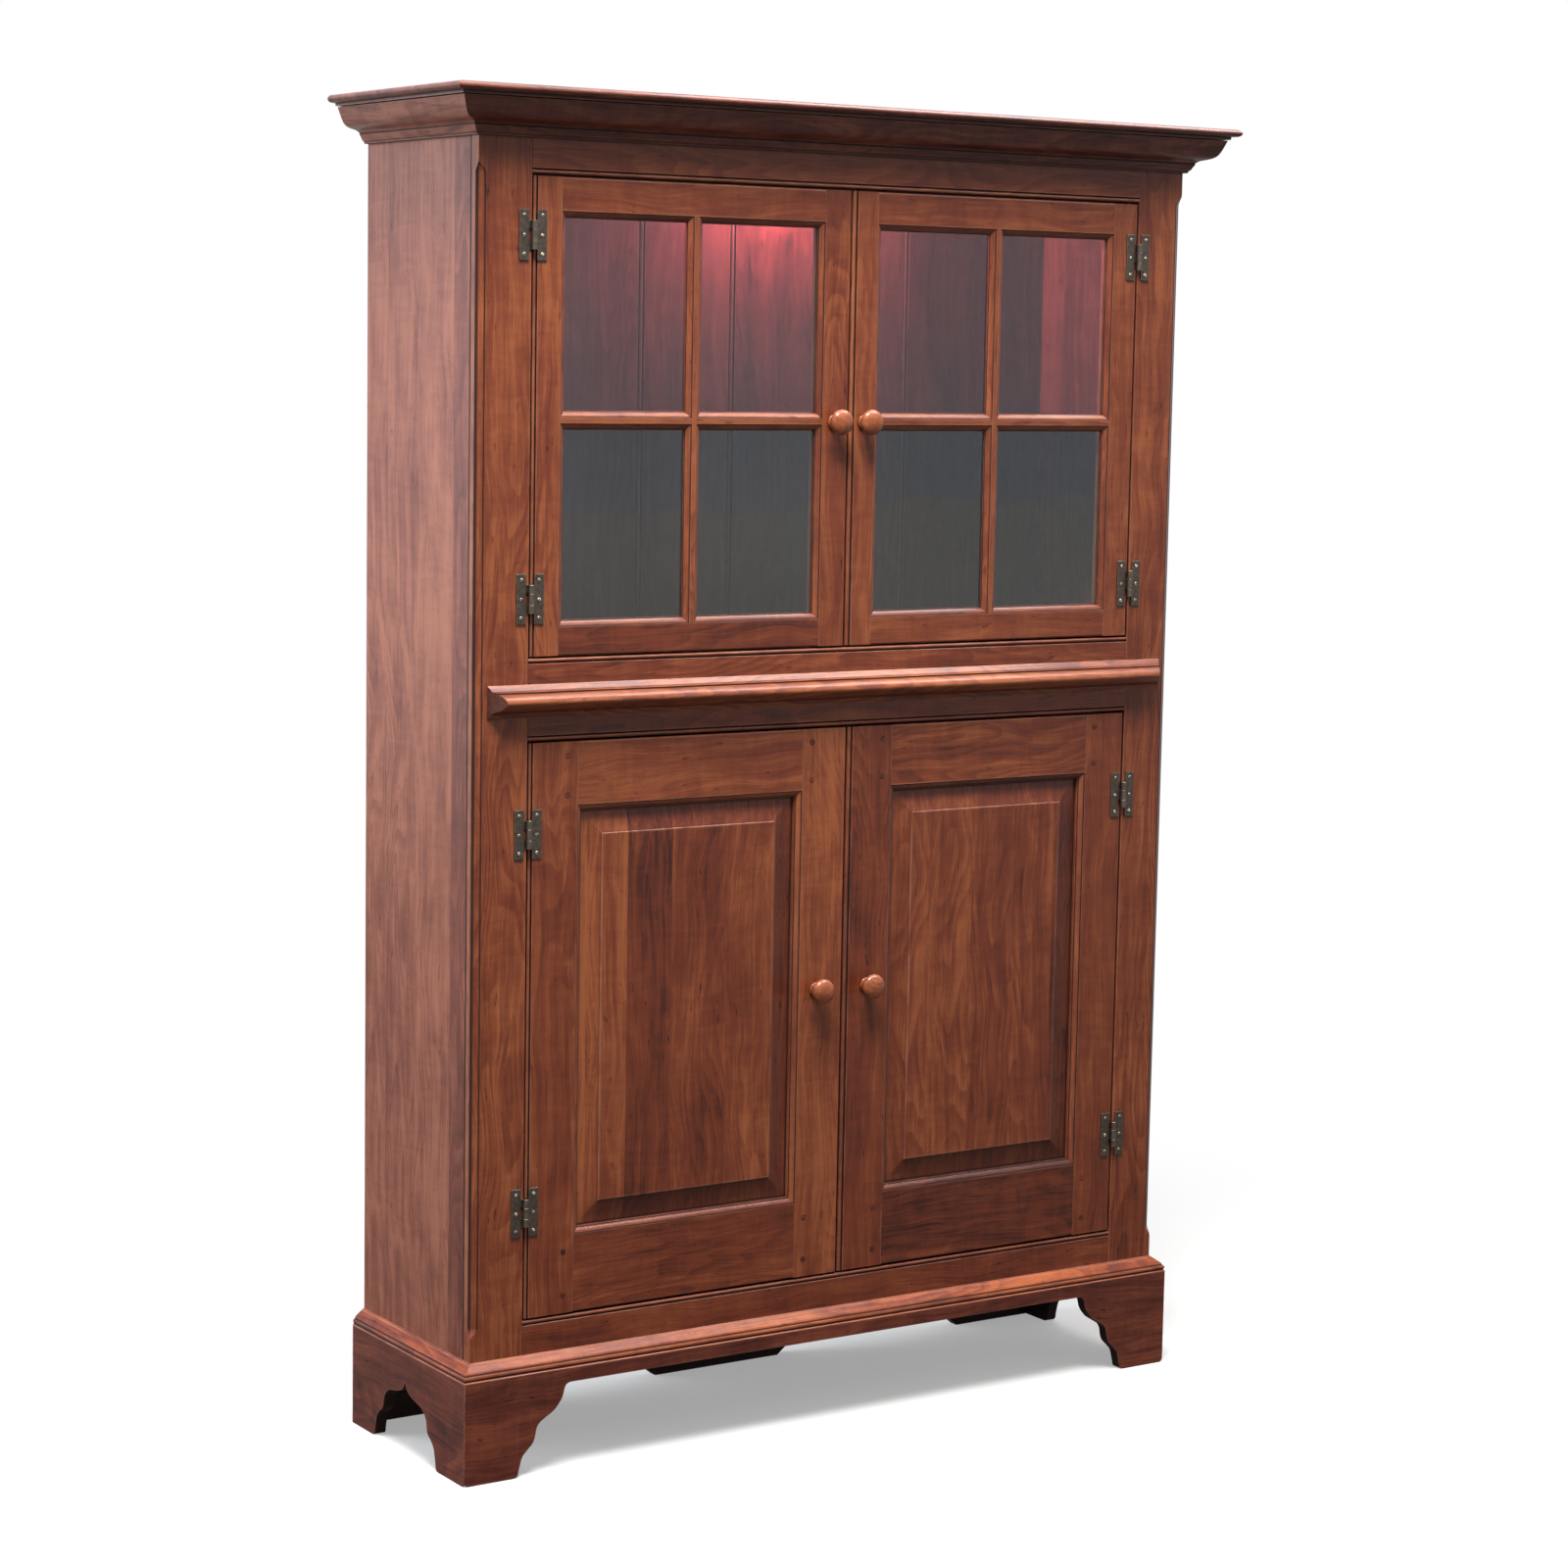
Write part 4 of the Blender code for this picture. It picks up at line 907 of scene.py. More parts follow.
# %% Base boards
BASE_OUT, BASE_TALL, BASE_FACE, APRON = 20.5 * MM, 189.5 * MM, 164 * MM, 141 * MM
BASE_EDGE_SHARES = (
    (0.94, 0.04), (0.9, 0.11), (0.95, 0.18), (0.965, 0.26), (0.93, 0.34), (0.86, 0.38),
    (0.8, 0.41), (0.79, 0.46), (0.74, 0.53), (0.62, 0.62), (0.45, 0.73), (0.28, 0.84),
    (0.12, 0.93),
)
FRONT_SCROLL_SHARES = (
    (0, 0), (0.05, 0.04), (0.09, 0.14), (0.135, 0.235), (0.22, 0.3), (0.32, 0.37), (0.36, 0.44),
    (0.385, 0.525), (0.44, 0.59), (0.56, 0.645), (0.7, 0.705), (0.8, 0.78), (0.86, 0.85),
    (0.89, 0.93), (0.93, 0.98), (1, 1),
)
SIDE_SCROLL_SHARES = (
    (0, 0), (0.03, 0.06), (0.06, 0.18), (0.105, 0.31), (0.19, 0.39), (0.29, 0.46), (0.32, 0.56),
    (0.34, 0.64), (0.4, 0.71), (0.5, 0.77), (0.64, 0.8), (0.78, 0.83), (0.88, 0.865), (0.95, 0.92),
    (1, 1),
)
rise = BASE_TALL - BASE_FACE
sized = np.array(BASE_EDGE_SHARES) * (BASE_OUT, rise) + (0, BASE_FACE)
moulded = [(FIT, BASE_FACE), (BASE_OUT, BASE_FACE), *flowing(sized[:6], 3),
           *flowing(sized[6:], 3), (FIT, BASE_TALL)]
BASE_SHADE_LINES = BASE_FACE + np.array((0.11, 0.40, 1.0)) * rise
BASE_HIGHLIGHT_LINES = BASE_FACE + np.array((0.02, 0.25, 0.90)) * rise
runs = three_runs(moulded, (0.0, 0.15, 0.0), BASE_SHADE_LINES, BASE_HIGHLIGHT_LINES)
piece("base_moulding", "case", "moulding_wood", runs, material="base_moulding_wood")

TOE, HEEL, CORNER_POINTS = 8 * MM, 10 * MM, 6
FOOT_FRONT, FOOT_RUN, SIDE_FOOT, REAR_FOOT = 90 * MM, 98 * MM, 91 * MM, 77 * MM
SIDE_APRON, CLOSE = 115.5 * MM, 0.05 * MM


def scroll_with_toe(shares, run, rise, foot_end):
    """A foot's scroll from its toe up: the lowest part is rounded where the foot stands."""
    scroll = flowing(np.array(shares) * (run, rise) + (foot_end, 0), 3)
    scroll = scroll[scroll[:, 1] > TOE]
    x = scroll[0, 0]
    toe = parabola((x - HEEL, 0), (x - 1 * MM, 0), (x, TOE), CORNER_POINTS)
    return np.vstack([toe[:-1], scroll])


def base_board(name, outline, place, left, right, **wood):
    """A base board cut from an outline, kept below the moulded edge and between two ends. Each
    end is a function of how far a point stands out, which makes the mitres."""
    def bend(u, v, w):
        return np.clip(u, left(w), right(w)), np.clip(v, 0, BASE_FACE - CLOSE), w
    board = stacked(outline, slab_levels(FIT, BASE_OUT, wall=1.0), place, bend, **wood)
    piece(f"base_board_{name}", "case", "base_wood", [board], f"base_{name}")


foot = scroll_with_toe(FRONT_SCROLL_SHARES, FOOT_RUN, APRON, FOOT_FRONT)
corner = parabola((0, HEEL), (0, 0), (HEEL, 0), CORNER_POINTS)
half = np.vstack([[(0, BASE_FACE)], corner, foot]) - (SIDE + BASE_OUT, 0)
base_board("front", np.vstack([half, half[::-1] * (-1, 1)]), (FRONT, X, Z, -Y),
           lambda w: -SIDE - w, lambda w: SIDE + w, grain="zyx", tone=0.06)

front_y = FACE - BASE_OUT
run = (BACK - front_y - SIDE_FOOT - REAR_FOOT) / 2
front_foot = scroll_with_toe(SIDE_SCROLL_SHARES, run, SIDE_APRON, SIDE_FOOT) + (front_y, 0)
rear_foot = scroll_with_toe(SIDE_SCROLL_SHARES, run, SIDE_APRON, REAR_FOOT) * (-1, 1) + (BACK, 0)
profile = np.vstack([[(front_y, BASE_FACE)], corner + (front_y, 0), front_foot,
                     rear_foot[::-1][1:], [(BACK, 0), (BACK, BASE_FACE)]])
for name, side in (("left", -1), ("right", 1)):
    base_board(name, profile, (side * SIDE * X, Y, Z, side * X),
               lambda w: FACE - w, lambda w: BACK, grain="zxy", tone=-0.02)

SKIRT_MIDDLE, SKIRT_FOOT, ARCH_RUN, ARCH_RISE = 0.125, 0.1577, 0.09, 0.07
low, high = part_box("rear_skirt")
half = high.x
arch = [(SKIRT_MIDDLE, 0.0), (SKIRT_MIDDLE + ARCH_RUN, ARCH_RISE),
        (half - SKIRT_FOOT - ARCH_RUN, ARCH_RISE), (half - SKIRT_FOOT, 0.0), (half, 0.0),
        (half, high.z)]
outline = arch + [(-x, z) for x, z in reversed(arch)]
# The skirt's very dark tone stands for the shade under the case: painted shade.
skirt = stacked(outline, slab_levels(high.y, low.y), (ORIGIN, X, Z, Y), grain="zyx", tone=-0.5)
piece("skirt_board", "case", "base_wood", [skirt], "rear_skirt")
print("base boards 4")

# %% [markdown]
# ## Doors
# A door's stiles and rails carry a moulded inner edge, the sticking, which meets in mitres. The
# left edge of every door has a bead, and the other edges are eased.

# %% Door members
STICK_WIDE, STICK_DEEP, BED, EDGE_RADIUS = 10 * MM, 7.8 * MM, 2 * MM, 2.8 * MM
STICKING = {
    "upper": ((0.000, 0.000), (0.030, 0.130), (0.080, 0.160), (0.300, 0.260), (0.600, 0.500),
              (0.840, 0.790), (0.870, 0.940), (1.000, 1.000)),
    "lower": ((0.000, 0.000), (0.020, 0.140), (0.070, 0.155), (0.250, 0.200), (0.470, 0.330),
              (0.660, 0.540), (0.800, 0.800), (0.840, 0.950), (1.000, 1.000)),
}
# Tones of the hinge stile, the lock stile, the top rail and the bottom rail. The upper right lock
# stile's tone is raised for the sheen on it: painted sheen.
DOOR_TONES = {
    "upper_left": (0.08, 0.08, 0.04, -0.08), "upper_right": (0.08, 0.24, 0.04, -0.02),
    "lower_left": (0.10, 0.14, 0.21, -0.01), "lower_right": (0.05, -0.08, 0.02, -0.26),
}
MEMBERS = ("hinge_stile", "lock_stile", "top_rail", "bottom_rail")


def arris(radius, steps=4):
    """A rounded edge, as (distance from the edge, depth) from the face to the edge."""
    t = np.linspace(0, math.pi / 2, steps + 1)
    return np.stack([radius * (1 - np.sin(t)), radius * (1 - np.cos(t))], axis=1)


def sticking(kind, rest, place, start, end, **wood):
    """A strip of sticking, closed by the points of rest. It is mitred at both ends: its points
    run on along W by as much as they lie along U."""
    outline = guarded([*np.array(STICKING[kind]) * (STICK_WIDE, STICK_DEEP), *rest])
    glaze_and_shade, wear_and_highlight = stain_and_painted_light(outline)
    line = bell(outline[:, 0], 1.0 * MM) * (outline[:, 1] < 3 * MM) * 0.55
    return bar(outline, place, start + outline[:, 0], end - outline[:, 0],
               stains_and_painted_light=(np.maximum(glaze_and_shade, line), wear_and_highlight), **wood)


def member(edge, width, kind, groove, place, span, shoulders, **wood):
    """A stile or rail as two shells: the plain body and the sticking. In place, U points from
    the body towards the glass or panel, V into the door and W along. The body lies below 0."""
    body = [(0, 0), *((a - width, b) for a, b in edge), (-width, DOOR_DEPTH), (0, DOOR_DEPTH)]
    rest = [(STICK_WIDE, groove[0]), (BED, groove[0]), (BED, groove[1]),
            (STICK_WIDE, groove[1]), (STICK_WIDE, DOOR_DEPTH), (0, DOOR_DEPTH)]
    return [bar(guarded(body), place, *span, **wood),
            sticking(kind, rest, place, span[0] + shoulders[0], span[1] - shoulders[1], **wood)]


def door_frame(name, meeting_bead, groove):
    """Four members from the boxes of their solids."""
    left, right = (("hinge", "lock") if name.endswith("left") else ("lock", "hinge"))
    left_low, left_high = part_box(f"{name}_{left}_stile")
    right_low, right_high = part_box(f"{name}_{right}_stile")
    inner_left, inner_right = left_high.x - STICK_WIDE, right_low.x + STICK_WIDE
    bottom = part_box(f"{name}_bottom_rail")[1].z - STICK_WIDE
    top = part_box(f"{name}_top_rail")[0].z + STICK_WIDE
    tones = dict(zip(MEMBERS, DOOR_TONES[name]))
    upright = (left_low.z, right_high.z)
    rails = (bottom - upright[0], upright[1] - top)
    level = (inner_left + FIT / 2, inner_right - FIT / 2)
    plain = arris(EDGE_RADIUS)
    members = (
        (f"{left}_stile", bead(meeting_bead), inner_left - left_low.x,
         (FRONT + inner_left * X, X, Y, Z), upright, rails, "xyz"),
        (f"{right}_stile", plain, right_high.x - inner_right,
         (FRONT + inner_right * X, -X, Y, Z), upright, rails, "xyz"),
        ("bottom_rail", plain, rails[0], (FRONT + bottom * Z, Z, Y, X), level, (0, 0), "zyx"),
        ("top_rail", plain, rails[1], (FRONT + top * Z, -Z, Y, X), level, (0, 0), "zyx"),
    )
    for part, edge, width, place, span, shoulders, grain in members:
        shells = member(edge, width, name.split("_")[0], groove, place, span, shoulders,
                        grain=grain, tone=tones[part])
        piece(f"{name}_door_{part}", name + "_door", "door_wood", shells, f"{name}_{part}")
    return inner_left, inner_right, bottom, top


GLASS_FACE, GLASS_THICK = 9.0 * MM, 3.0 * MM
PANEL_FACE, TONGUE = 13.3 * MM, 4.4 * MM
GROOVES = {"upper": (GLASS_FACE - FIT, GLASS_FACE + GLASS_THICK + FIT),
           "lower": (PANEL_FACE, PANEL_FACE + TONGUE + 2 * FIT)}
MEETING_BEADS = {"left": 5.0 * MM, "right": 7.2 * MM}
SIGHT = {f"{level}_{side}": door_frame(f"{level}_{side}", width, groove)
         for level, groove in GROOVES.items() for side, width in MEETING_BEADS.items()}
print("doors", {k: [round(v, 4) for v in s] for k, s in SIGHT.items()})

# %% [markdown]
# ## Glazing bars and panes
# The upright bar runs through and the level ones butt against it. Each pane is edged with the
# same sticking as the door, so eight mitred strips go on the bars.

# %% Bars and panes
BAR_FLAT, BAR_BACK, REBATE = 9 * MM, GLASS_FACE - FIT, 2.5 * MM


def bars(name, sight):
    """The bars of a door and the sight sizes (x0, x1, z0, z1) of its four panes."""
    left, right, bottom, top = sight
    middle_x, middle_z, half = (left + right) / 2, (bottom + top) / 2, BAR_FLAT / 2
    spine = guarded(rectangle(-half, 0, half, BAR_BACK))
    shells = [bar(spine, (FRONT + middle_x * X, X, Y, Z), bottom + FIT, top - FIT, tone=0.15)]
    for start, end in ((left + FIT, middle_x - half - FIT), (middle_x + half + FIT, right - FIT)):
        place = (FRONT + middle_z * Z, Z, Y, X)
        shells.append(bar(spine, place, start, end, grain="zyx", tone=0.20))
    panes = []
    for x0, x1, on_x, side in ((left, middle_x - half, middle_x - half, -1),
                               (middle_x + half, right, middle_x + half, 1)):
        for z0, z1, on_z, way in ((bottom, middle_z - half, middle_z - half, -1),
                                  (middle_z + half, top, middle_z + half, 1)):
            for place, start, end, grain in (
                ((FRONT + on_x * X, side * X, Y, Z), z0, z1, "xyz"),
                ((FRONT + on_z * Z, way * Z, Y, X), x0, x1, "zyx"),
            ):
                rest = [(STICK_WIDE, BAR_BACK), (0, BAR_BACK)]
                shells.append(sticking("upper", rest, place, start + FIT / 2, end - FIT / 2,
                                       grain=grain, tone=0.15))
            panes.append((x0, x1, z0, z1))
    piece(f"{name}_door_bars", name + "_door", "door_wood", shells, f"{name}_glazing_bars")
    return panes


SWELL, SKIN = 0.12 * MM, 0.02 * MM


def pane(x0, x1, z0, z1, phase, steps=24):
    """A sheet whose two faces follow one slow wave, as old drawn glass does: the sum of two
    sines, 0.12 mm high. Its last faces close it all round."""
    u, w = np.meshgrid(np.linspace(x0, x1, steps), np.linspace(z0, z1, steps), indexing="ij")
    fade = np.sin(np.linspace(0, math.pi, steps))
    fade = np.minimum(fade[:, None], fade[None])
    swell = SWELL * fade * (np.sin(u * 31 + w * 11 + phase) + np.sin(w * 23 - u * 7 + phase * 2))
    sheets = [np.stack([u, FACE + depth + swell, w], axis=-1).reshape(-1, 3)
              for depth in (GLASS_FACE + SKIN, GLASS_FACE + GLASS_THICK - SKIN)]
    grid = np.arange(steps * steps).reshape(steps, steps)
    quads = np.stack([grid[:-1, :-1], grid[1:, :-1], grid[1:, 1:], grid[:-1, 1:]], -1)
    quads = quads.reshape(-1, 4)
    rim = np.concatenate([grid[0, :-1], grid[:-1, -1], grid[-1, :0:-1], grid[:0:-1, 0]])
    far = steps * steps
    sides = np.stack([rim, np.roll(rim, -1), np.roll(rim, -1) + far, rim + far], -1)
    faces = quads.tolist() + (quads[:, ::-1] + far).tolist() + sides[:, ::-1].tolist()
    return solid(np.vstack(sheets), faces)


for number, name in enumerate(("upper_left", "upper_right")):
    low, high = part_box(name + "_glass")
    panes = bars(name, SIGHT[name])
    sheets = [pane(max(x0 + REBATE, low.x), min(x1 - REBATE, high.x), z0 + REBATE, z1 - REBATE,
                   2.1 * i + number) for i, (x0, x1, z0, z1) in enumerate(panes)]
    piece(f"{name}_door_panes", name + "_door", "pane_glass", sheets, name + "_glass")

# %% [markdown]
# ## Raised panels
# A panel floats in its groove. Its field stands up, with a small step, and falls to a tongue by
# a wide bevel. It is glued up from three or four boards.

# %% Panels
PANEL_RISE, PANEL_STEP, PANEL_MARGIN = 7.8 * MM, 1.9 * MM, 47 * MM
PANEL_FRONT = PANEL_FACE + FIT
FIELD = PANEL_FRONT - PANEL_RISE
STEP_FOOT = FIELD + PANEL_STEP
TONGUE_IN, CORNER_RUN, PANEL_BOARDS = 2.4 * MM, 60 * MM, 11.0
# The bevel is slightly hollow: depth = rise times a share that falls off fastest at the field.
hollow = [(PANEL_MARGIN - t * (PANEL_MARGIN - STICK_WIDE),
           STEP_FOOT + (1 - (1 - t) ** 1.5) * (PANEL_RISE - PANEL_STEP), 0.1 * t ** 4, 0)
          for t in np.linspace(0, 1, 9)[-2:0:-1]]
rounded = [(PANEL_MARGIN + PANEL_STEP * (1 - math.cos(a)), FIELD + PANEL_STEP * (1 - math.sin(a)),
            0, 0.9) for a in np.linspace(0.15, math.pi / 2, 10)]
# Levels are (inset, height, glaze and painted shade, wear and painted highlight): the edge under
# the sticking and the foot of the step are darkened, and the field's rounded edge is lightened.
levels = [
    (TONGUE_IN, PANEL_FRONT + TONGUE, 0, 0), (TONGUE_IN, PANEL_FRONT, 0.6, 0),
    (STICK_WIDE + FIT, PANEL_FRONT, 1.0, 0), *hollow,
    (PANEL_MARGIN - 0.8 * MM, STEP_FOOT + 0.2 * MM, 0.25, 0),
    (PANEL_MARGIN - 0.1 * MM, STEP_FOOT + 0.05 * MM, 0.9, 0), *rounded,
    (PANEL_MARGIN + PANEL_STEP + 1 * MM, FIELD, 0, 0.2),
    (PANEL_MARGIN + PANEL_STEP + 3 * MM, FIELD, 0, 0),
]
BEVEL = slice(2, 5 + len(hollow))
# start is the place of the panel's left edge, counted in boards.
for name, tone, start, left_bevel_shade in (("lower_left", 0.04, 77.72, 0.04),
                                      ("lower_right", -0.09, 84.95, 0.20)):
    left, right, bottom, top = SIGHT[name]
    near_left, near_right = left + CORNER_RUN, right - CORNER_RUN
    low_z, high_z = bottom + CORNER_RUN, top - CORNER_RUN
    corners = [(left, bottom), (near_left, bottom), (near_right, bottom), (right, bottom),
               (right, low_z), (right, high_z), (right, top), (near_right, top),
               (near_left, top), (left, top), (left, high_z), (left, low_z)]
    # Painted shade on the bevels: most on the lower one, which faces down, less on the right one,
    # none on the top and a little on the left one, as given for each panel.
    bevel_shade = (0.34, 0.50, 0.50, 0.46, 0.36, 0.33, 0.18, 0, 0, left_bevel_shade / 2, left_bevel_shade,
              left_bevel_shade + 0.06)
    panel = stacked(corners, levels, (FRONT, X, Z, Y), tone=tone, glued=PANEL_BOARDS,
                    across=start / PANEL_BOARDS - left)
    glaze_and_shade = panel["glaze_and_shade"].reshape(len(levels), -1).copy()
    glaze_and_shade[BEVEL] = np.maximum(glaze_and_shade[BEVEL], bevel_shade)
    panel["glaze_and_shade"] = glaze_and_shade.ravel()
    piece(f"{name}_door_panel", name + "_door", "door_wood", [panel], f"{name}_raised_panel",
          sharp=10)

# %% [markdown]
# ## Knobs
# A knob is turned on a lathe: one outline spun about an axis square to the door. It has a collar,
# a neck and a domed cap.

# %% Turned knobs
KNOB_RADIUS, KNOB_LONG, KNOB_ROUND = 20.6 * MM, 35 * MM, 56
KNOB_SHARES = (
    (0, 0.52), (0.05, 0.58), (0.11, 0.54), (0.15, 0.4), (0.24, 0.33), (0.35, 0.37), (0.44, 0.56),
    (0.52, 0.82), (0.61, 0.96), (0.7, 1), (0.8, 0.94), (0.89, 0.78), (0.96, 0.5), (0.992, 0.22),
    (1, 0.012),
)
curve = flowing(np.array(KNOB_SHARES) * (KNOB_LONG, KNOB_RADIUS), 3)
share = curve[:, 0] / KNOB_LONG
glaze_and_shade = np.maximum(bell(share - 0.19, 0.07) * 0.8, bell(share, 0.03))
levels = np.column_stack([curve, glaze_and_shade, bell(share - 0.7, 0.1) * 0.5])
for name in SIGHT:
    low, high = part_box(name + "_knob")
    centre = ((low.x + high.x) / 2, high.y, (low.z + high.z) / 2)
    knob = turned(levels, centre, count=KNOB_ROUND, grain="xzy", tone=0.1)
    piece(f"{name}_door_knob", name + "_door", "knob_wood", [knob], name + "_knob", sharp=50)

# %% [markdown]
# ## Pegs
# Two pegs lock each joint of the lower doors. Their ends drink more stain than the stiles do, so
# they show as dark rounds, and they stand out by a quarter of a millimetre.

# %% Pegs in the lower doors
PEG_ASIDE, PEG_LOW_SHARES, PEG_HIGH_SHARES = 18 * MM, (0.23, 0.79), (0.16, 0.78)
PEG_LEVELS = ((-0.3 * MM, 5.0 * MM, 1.0, 0), (0.1 * MM, 5.0 * MM, 0.9, 0),
              (0.2 * MM, 4.7 * MM, 0.55, 0), (0.24 * MM, 4.0 * MM, 0.2, 0),
              (0.25 * MM, 2.2 * MM, 0.12, 0), (0.25 * MM, 0.02 * MM, 0.12, 0))
for name in ("lower_left", "lower_right"):
    left, right, bottom, top = SIGHT[name]
    low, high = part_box(f"{name}_lock_stile")
    heights = [low.z + share * (bottom - low.z) for share in PEG_LOW_SHARES]
    heights += [top + share * (high.z - top) for share in PEG_HIGH_SHARES]
    pegs = [turned(PEG_LEVELS, (x, FACE, z), grain="xzy", tone=-0.22)
            for x in (left - PEG_ASIDE, right + PEG_ASIDE) for z in heights]
    piece(f"{name}_door_pegs", name + "_door", "door_wood", pegs, sharp=50)

# %% [markdown]
# ## Hinges
# Each hinge has two flat leaves with a notch above and below the barrel. The frame leaf carries
# the outer knuckles and the pin, the door leaf the middle knuckle. Three screws with round heads
# hold each leaf.

# %% Hinges
LEAF_TALL, LEAF_WIDE, LEAF_FROM, LEAF_THICK = 76 * MM, 16.5 * MM, 7.2 * MM, 2 * MM
LEAF_RADIUS, TONGUE_RADIUS, TONGUE_ROOT, TONGUE_LAP = 0.9 * MM, 0.7 * MM, 0.8 * MM, 1.5 * MM
BARREL_RADIUS, BARREL_LONG, KNUCKLE_SHARE, PIN_RADIUS = 4.7 * MM, 44 * MM, 0.38, 2.2 * MM
PIN_X = (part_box("upper_right_upper_hinge_frame_leaf")[0].x + BARREL_RADIUS)
PIN_Y = FACE - BARREL_RADIUS - 1.1 * MM
SCREW_ROUND, SCREW_RADIUS, SCREW_TALL = 24, 3.1 * MM, 1.7 * MM
SLOT_HALF, SLOT_DEEP = 0.42 * MM, 0.8 * MM
SCREW_RINGS = (1.0, 0.99, 0.93, 0.82, 0.66, 0.48, 0.28, 0.1, 0.004)
SCREW_OFFSETS = (-0.029, -0.001, 0.029)


def upright(x, radius, low, high, bevel=0.5 * MM):
    """A round bar on the pin's axis, with its rims eased."""
    levels = [(low, radius - bevel, 0.5, 0), (low + bevel, radius, 0.1, 0.6),
              (low + 3 * bevel, radius, 0, 0.15), (high - 3 * bevel, radius, 0, 0.15),
              (high - bevel, radius, 0.1, 0.6), (high, radius - bevel, 0.5, 0.3)]
    return turned(levels, (x, PIN_Y, 0), (Z, X, Y), 28)


def screw(x, y, z, turn):
    """A round head with a slot: its height is a dome, lowered inside the slot."""
    r = np.array(SCREW_RINGS) * SCREW_RADIUS
    angle = np.linspace(0, 2 * math.pi, SCREW_ROUND, endpoint=False)
    R, A = np.meshgrid(r, angle, indexing="ij")
    height = SCREW_TALL * np.sqrt(np.clip(1 - (R / SCREW_RADIUS) ** 2 * 0.92, 0, 1))
    height[0] = 0
    slot = np.exp(-(R * np.sin(A - turn) / SLOT_HALF) ** 4)
    height = height - slot * np.minimum(SLOT_DEEP, height * 0.7)
    rings = np.stack([x + R * np.cos(A), y - height, z + R * np.sin(A)], -1)
    low_rim = height < 0.3 * MM
    return shell(rings, (slot * 0.9 + low_rim * 0.6, 0.95 * (1 - slot) * (height > 0.3 * MM)))


def leaf(side, towards, z, knuckles, pinned, turns):
    """towards is the way from the pin to the plate, -1 or 1 along X."""
    x, half = side * PIN_X, LEAF_TALL / 2
    near, far = LEAF_FROM, LEAF_FROM + LEAF_WIDE
    outline = eased(rectangle(near, -half, far, half), LEAF_RADIUS, 4)
    place = (np.array((x, FACE - FIT, z)), towards * X, Z, -Y)
    levels = slab_levels(0, LEAF_THICK, 0.45 * MM, 0.3, soft=0.35 * MM)
    shells = [stacked(outline, levels, place)]
    levels = slab_levels(0.2 * MM, LEAF_THICK - 0.15 * MM, 0.3 * MM, 0.3, soft=0.3 * MM)
    for low, high in knuckles:
        tongue = rectangle(TONGUE_ROOT, low + FIT, near + TONGUE_LAP, high - FIT)
        tongue = eased(tongue, TONGUE_RADIUS)
        shells.append(stacked(tongue, levels, place))
        shells.append(upright(x, BARREL_RADIUS, z + low, z + high))
    if pinned:
        reach = BARREL_LONG / 2
        shells.append(upright(x, PIN_RADIUS, z - reach + 2 * MM, z + reach - 0.2 * MM, 0.3 * MM))
    for offset, turn in zip(SCREW_OFFSETS, turns):
        shells.append(screw(x + towards * (near + far) / 2, FACE - FIT - LEAF_THICK + 0.1 * MM,
                            z + offset, turn))
    return shells


half = BARREL_LONG / 2
middle = half * KNUCKLE_SHARE
outer_knuckles = ((-half, -middle - FIT), (middle + FIT, half))
draw = np.random.default_rng(7)
for name in SIGHT:
    side = -1 if name.endswith("left") else 1
    for level in ("upper", "lower"):
        low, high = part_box(f"{name}_{level}_hinge_frame_leaf")
        z = (low.z + high.z) / 2
        for kind, body, towards, knuckles, pinned in (
            ("frame", "case", side, outer_knuckles, True),
            ("door", name + "_door", -side, ((-middle, middle),), False),
        ):
            shells = leaf(side, towards, z, knuckles, pinned, draw.uniform(0, math.pi, 3))
            piece(f"{name}_{level}_hinge_{kind}_plate", body, "hinge_metal", shells,
                  f"{name}_{level}_hinge_{kind}_leaf", sharp=40)
print("hinge leaves 16")

# %% [markdown]
# ## Small fittings inside
# A round lamp sits under the top of the upper part, and its warm light shows on the back boards.
# The shelves lie on brass pins.

# %% Lamp and shelf pins
tree, shader = new_material("lamp_lens")
cloud = noise(own_place(tree), (60, 60, 60), 2.0)
fill(shader, {"Base Color": mixed(cloud, (0.95, 0.75, 0.62), (0.85, 0.62, 0.5)),
              "Emission Color": (1.0, 0.42, 0.36), "Emission Strength": 1.6, "Roughness": 0.3})
LAMP = np.array((0.07, 0.10, TOP - BOARD - FIT))
# (down, radius) in millimetres.
RIM = ((0.3, 34), (16, 34), (19, 32.5), (20, 30), (19.5, 27.5), (17, 26.5))
LENS = ((17.2, 26.2), (18.5, 25.5), (20.0, 20), (20.8, 12), (21.0, 0.5))
for name, slot, material, curve in (("lamp_housing", "hinge_metal", None, RIM),
                                    ("lamp_lens", "pane_glass", "lamp_lens", LENS)):
    puck = turned([(a * MM, b * MM, 0, 0) for a, b in curve], LAMP, (-Z, X, Y), 40)
    piece(name, "case", slot, [puck], sharp=40, material=material)

PIN_LEVELS = ((0.1 * MM, 2.9 * MM, 0, 0), (8 * MM, 2.9 * MM, 0, 0), (9 * MM, 2.2 * MM, 0, 0))
PIN_IN, PIN_DOWN, SIDE_THICK = 45 * MM, 3.2 * MM, 20 * MM
pins = []
for name in ("upper_shelf", "lower_shelf"):
    low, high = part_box(name)
    for side in (-1, 1):
        for y in (low.y + PIN_IN, high.y - PIN_IN):
            centre = (side * (SIDE - SIDE_THICK), y, low.z - PIN_DOWN)
            pins.append(turned(PIN_LEVELS, centre, (-side * X, Y, Z), 16))
piece("shelf_pins", "case", "hinge_metal", pins, sharp=40)

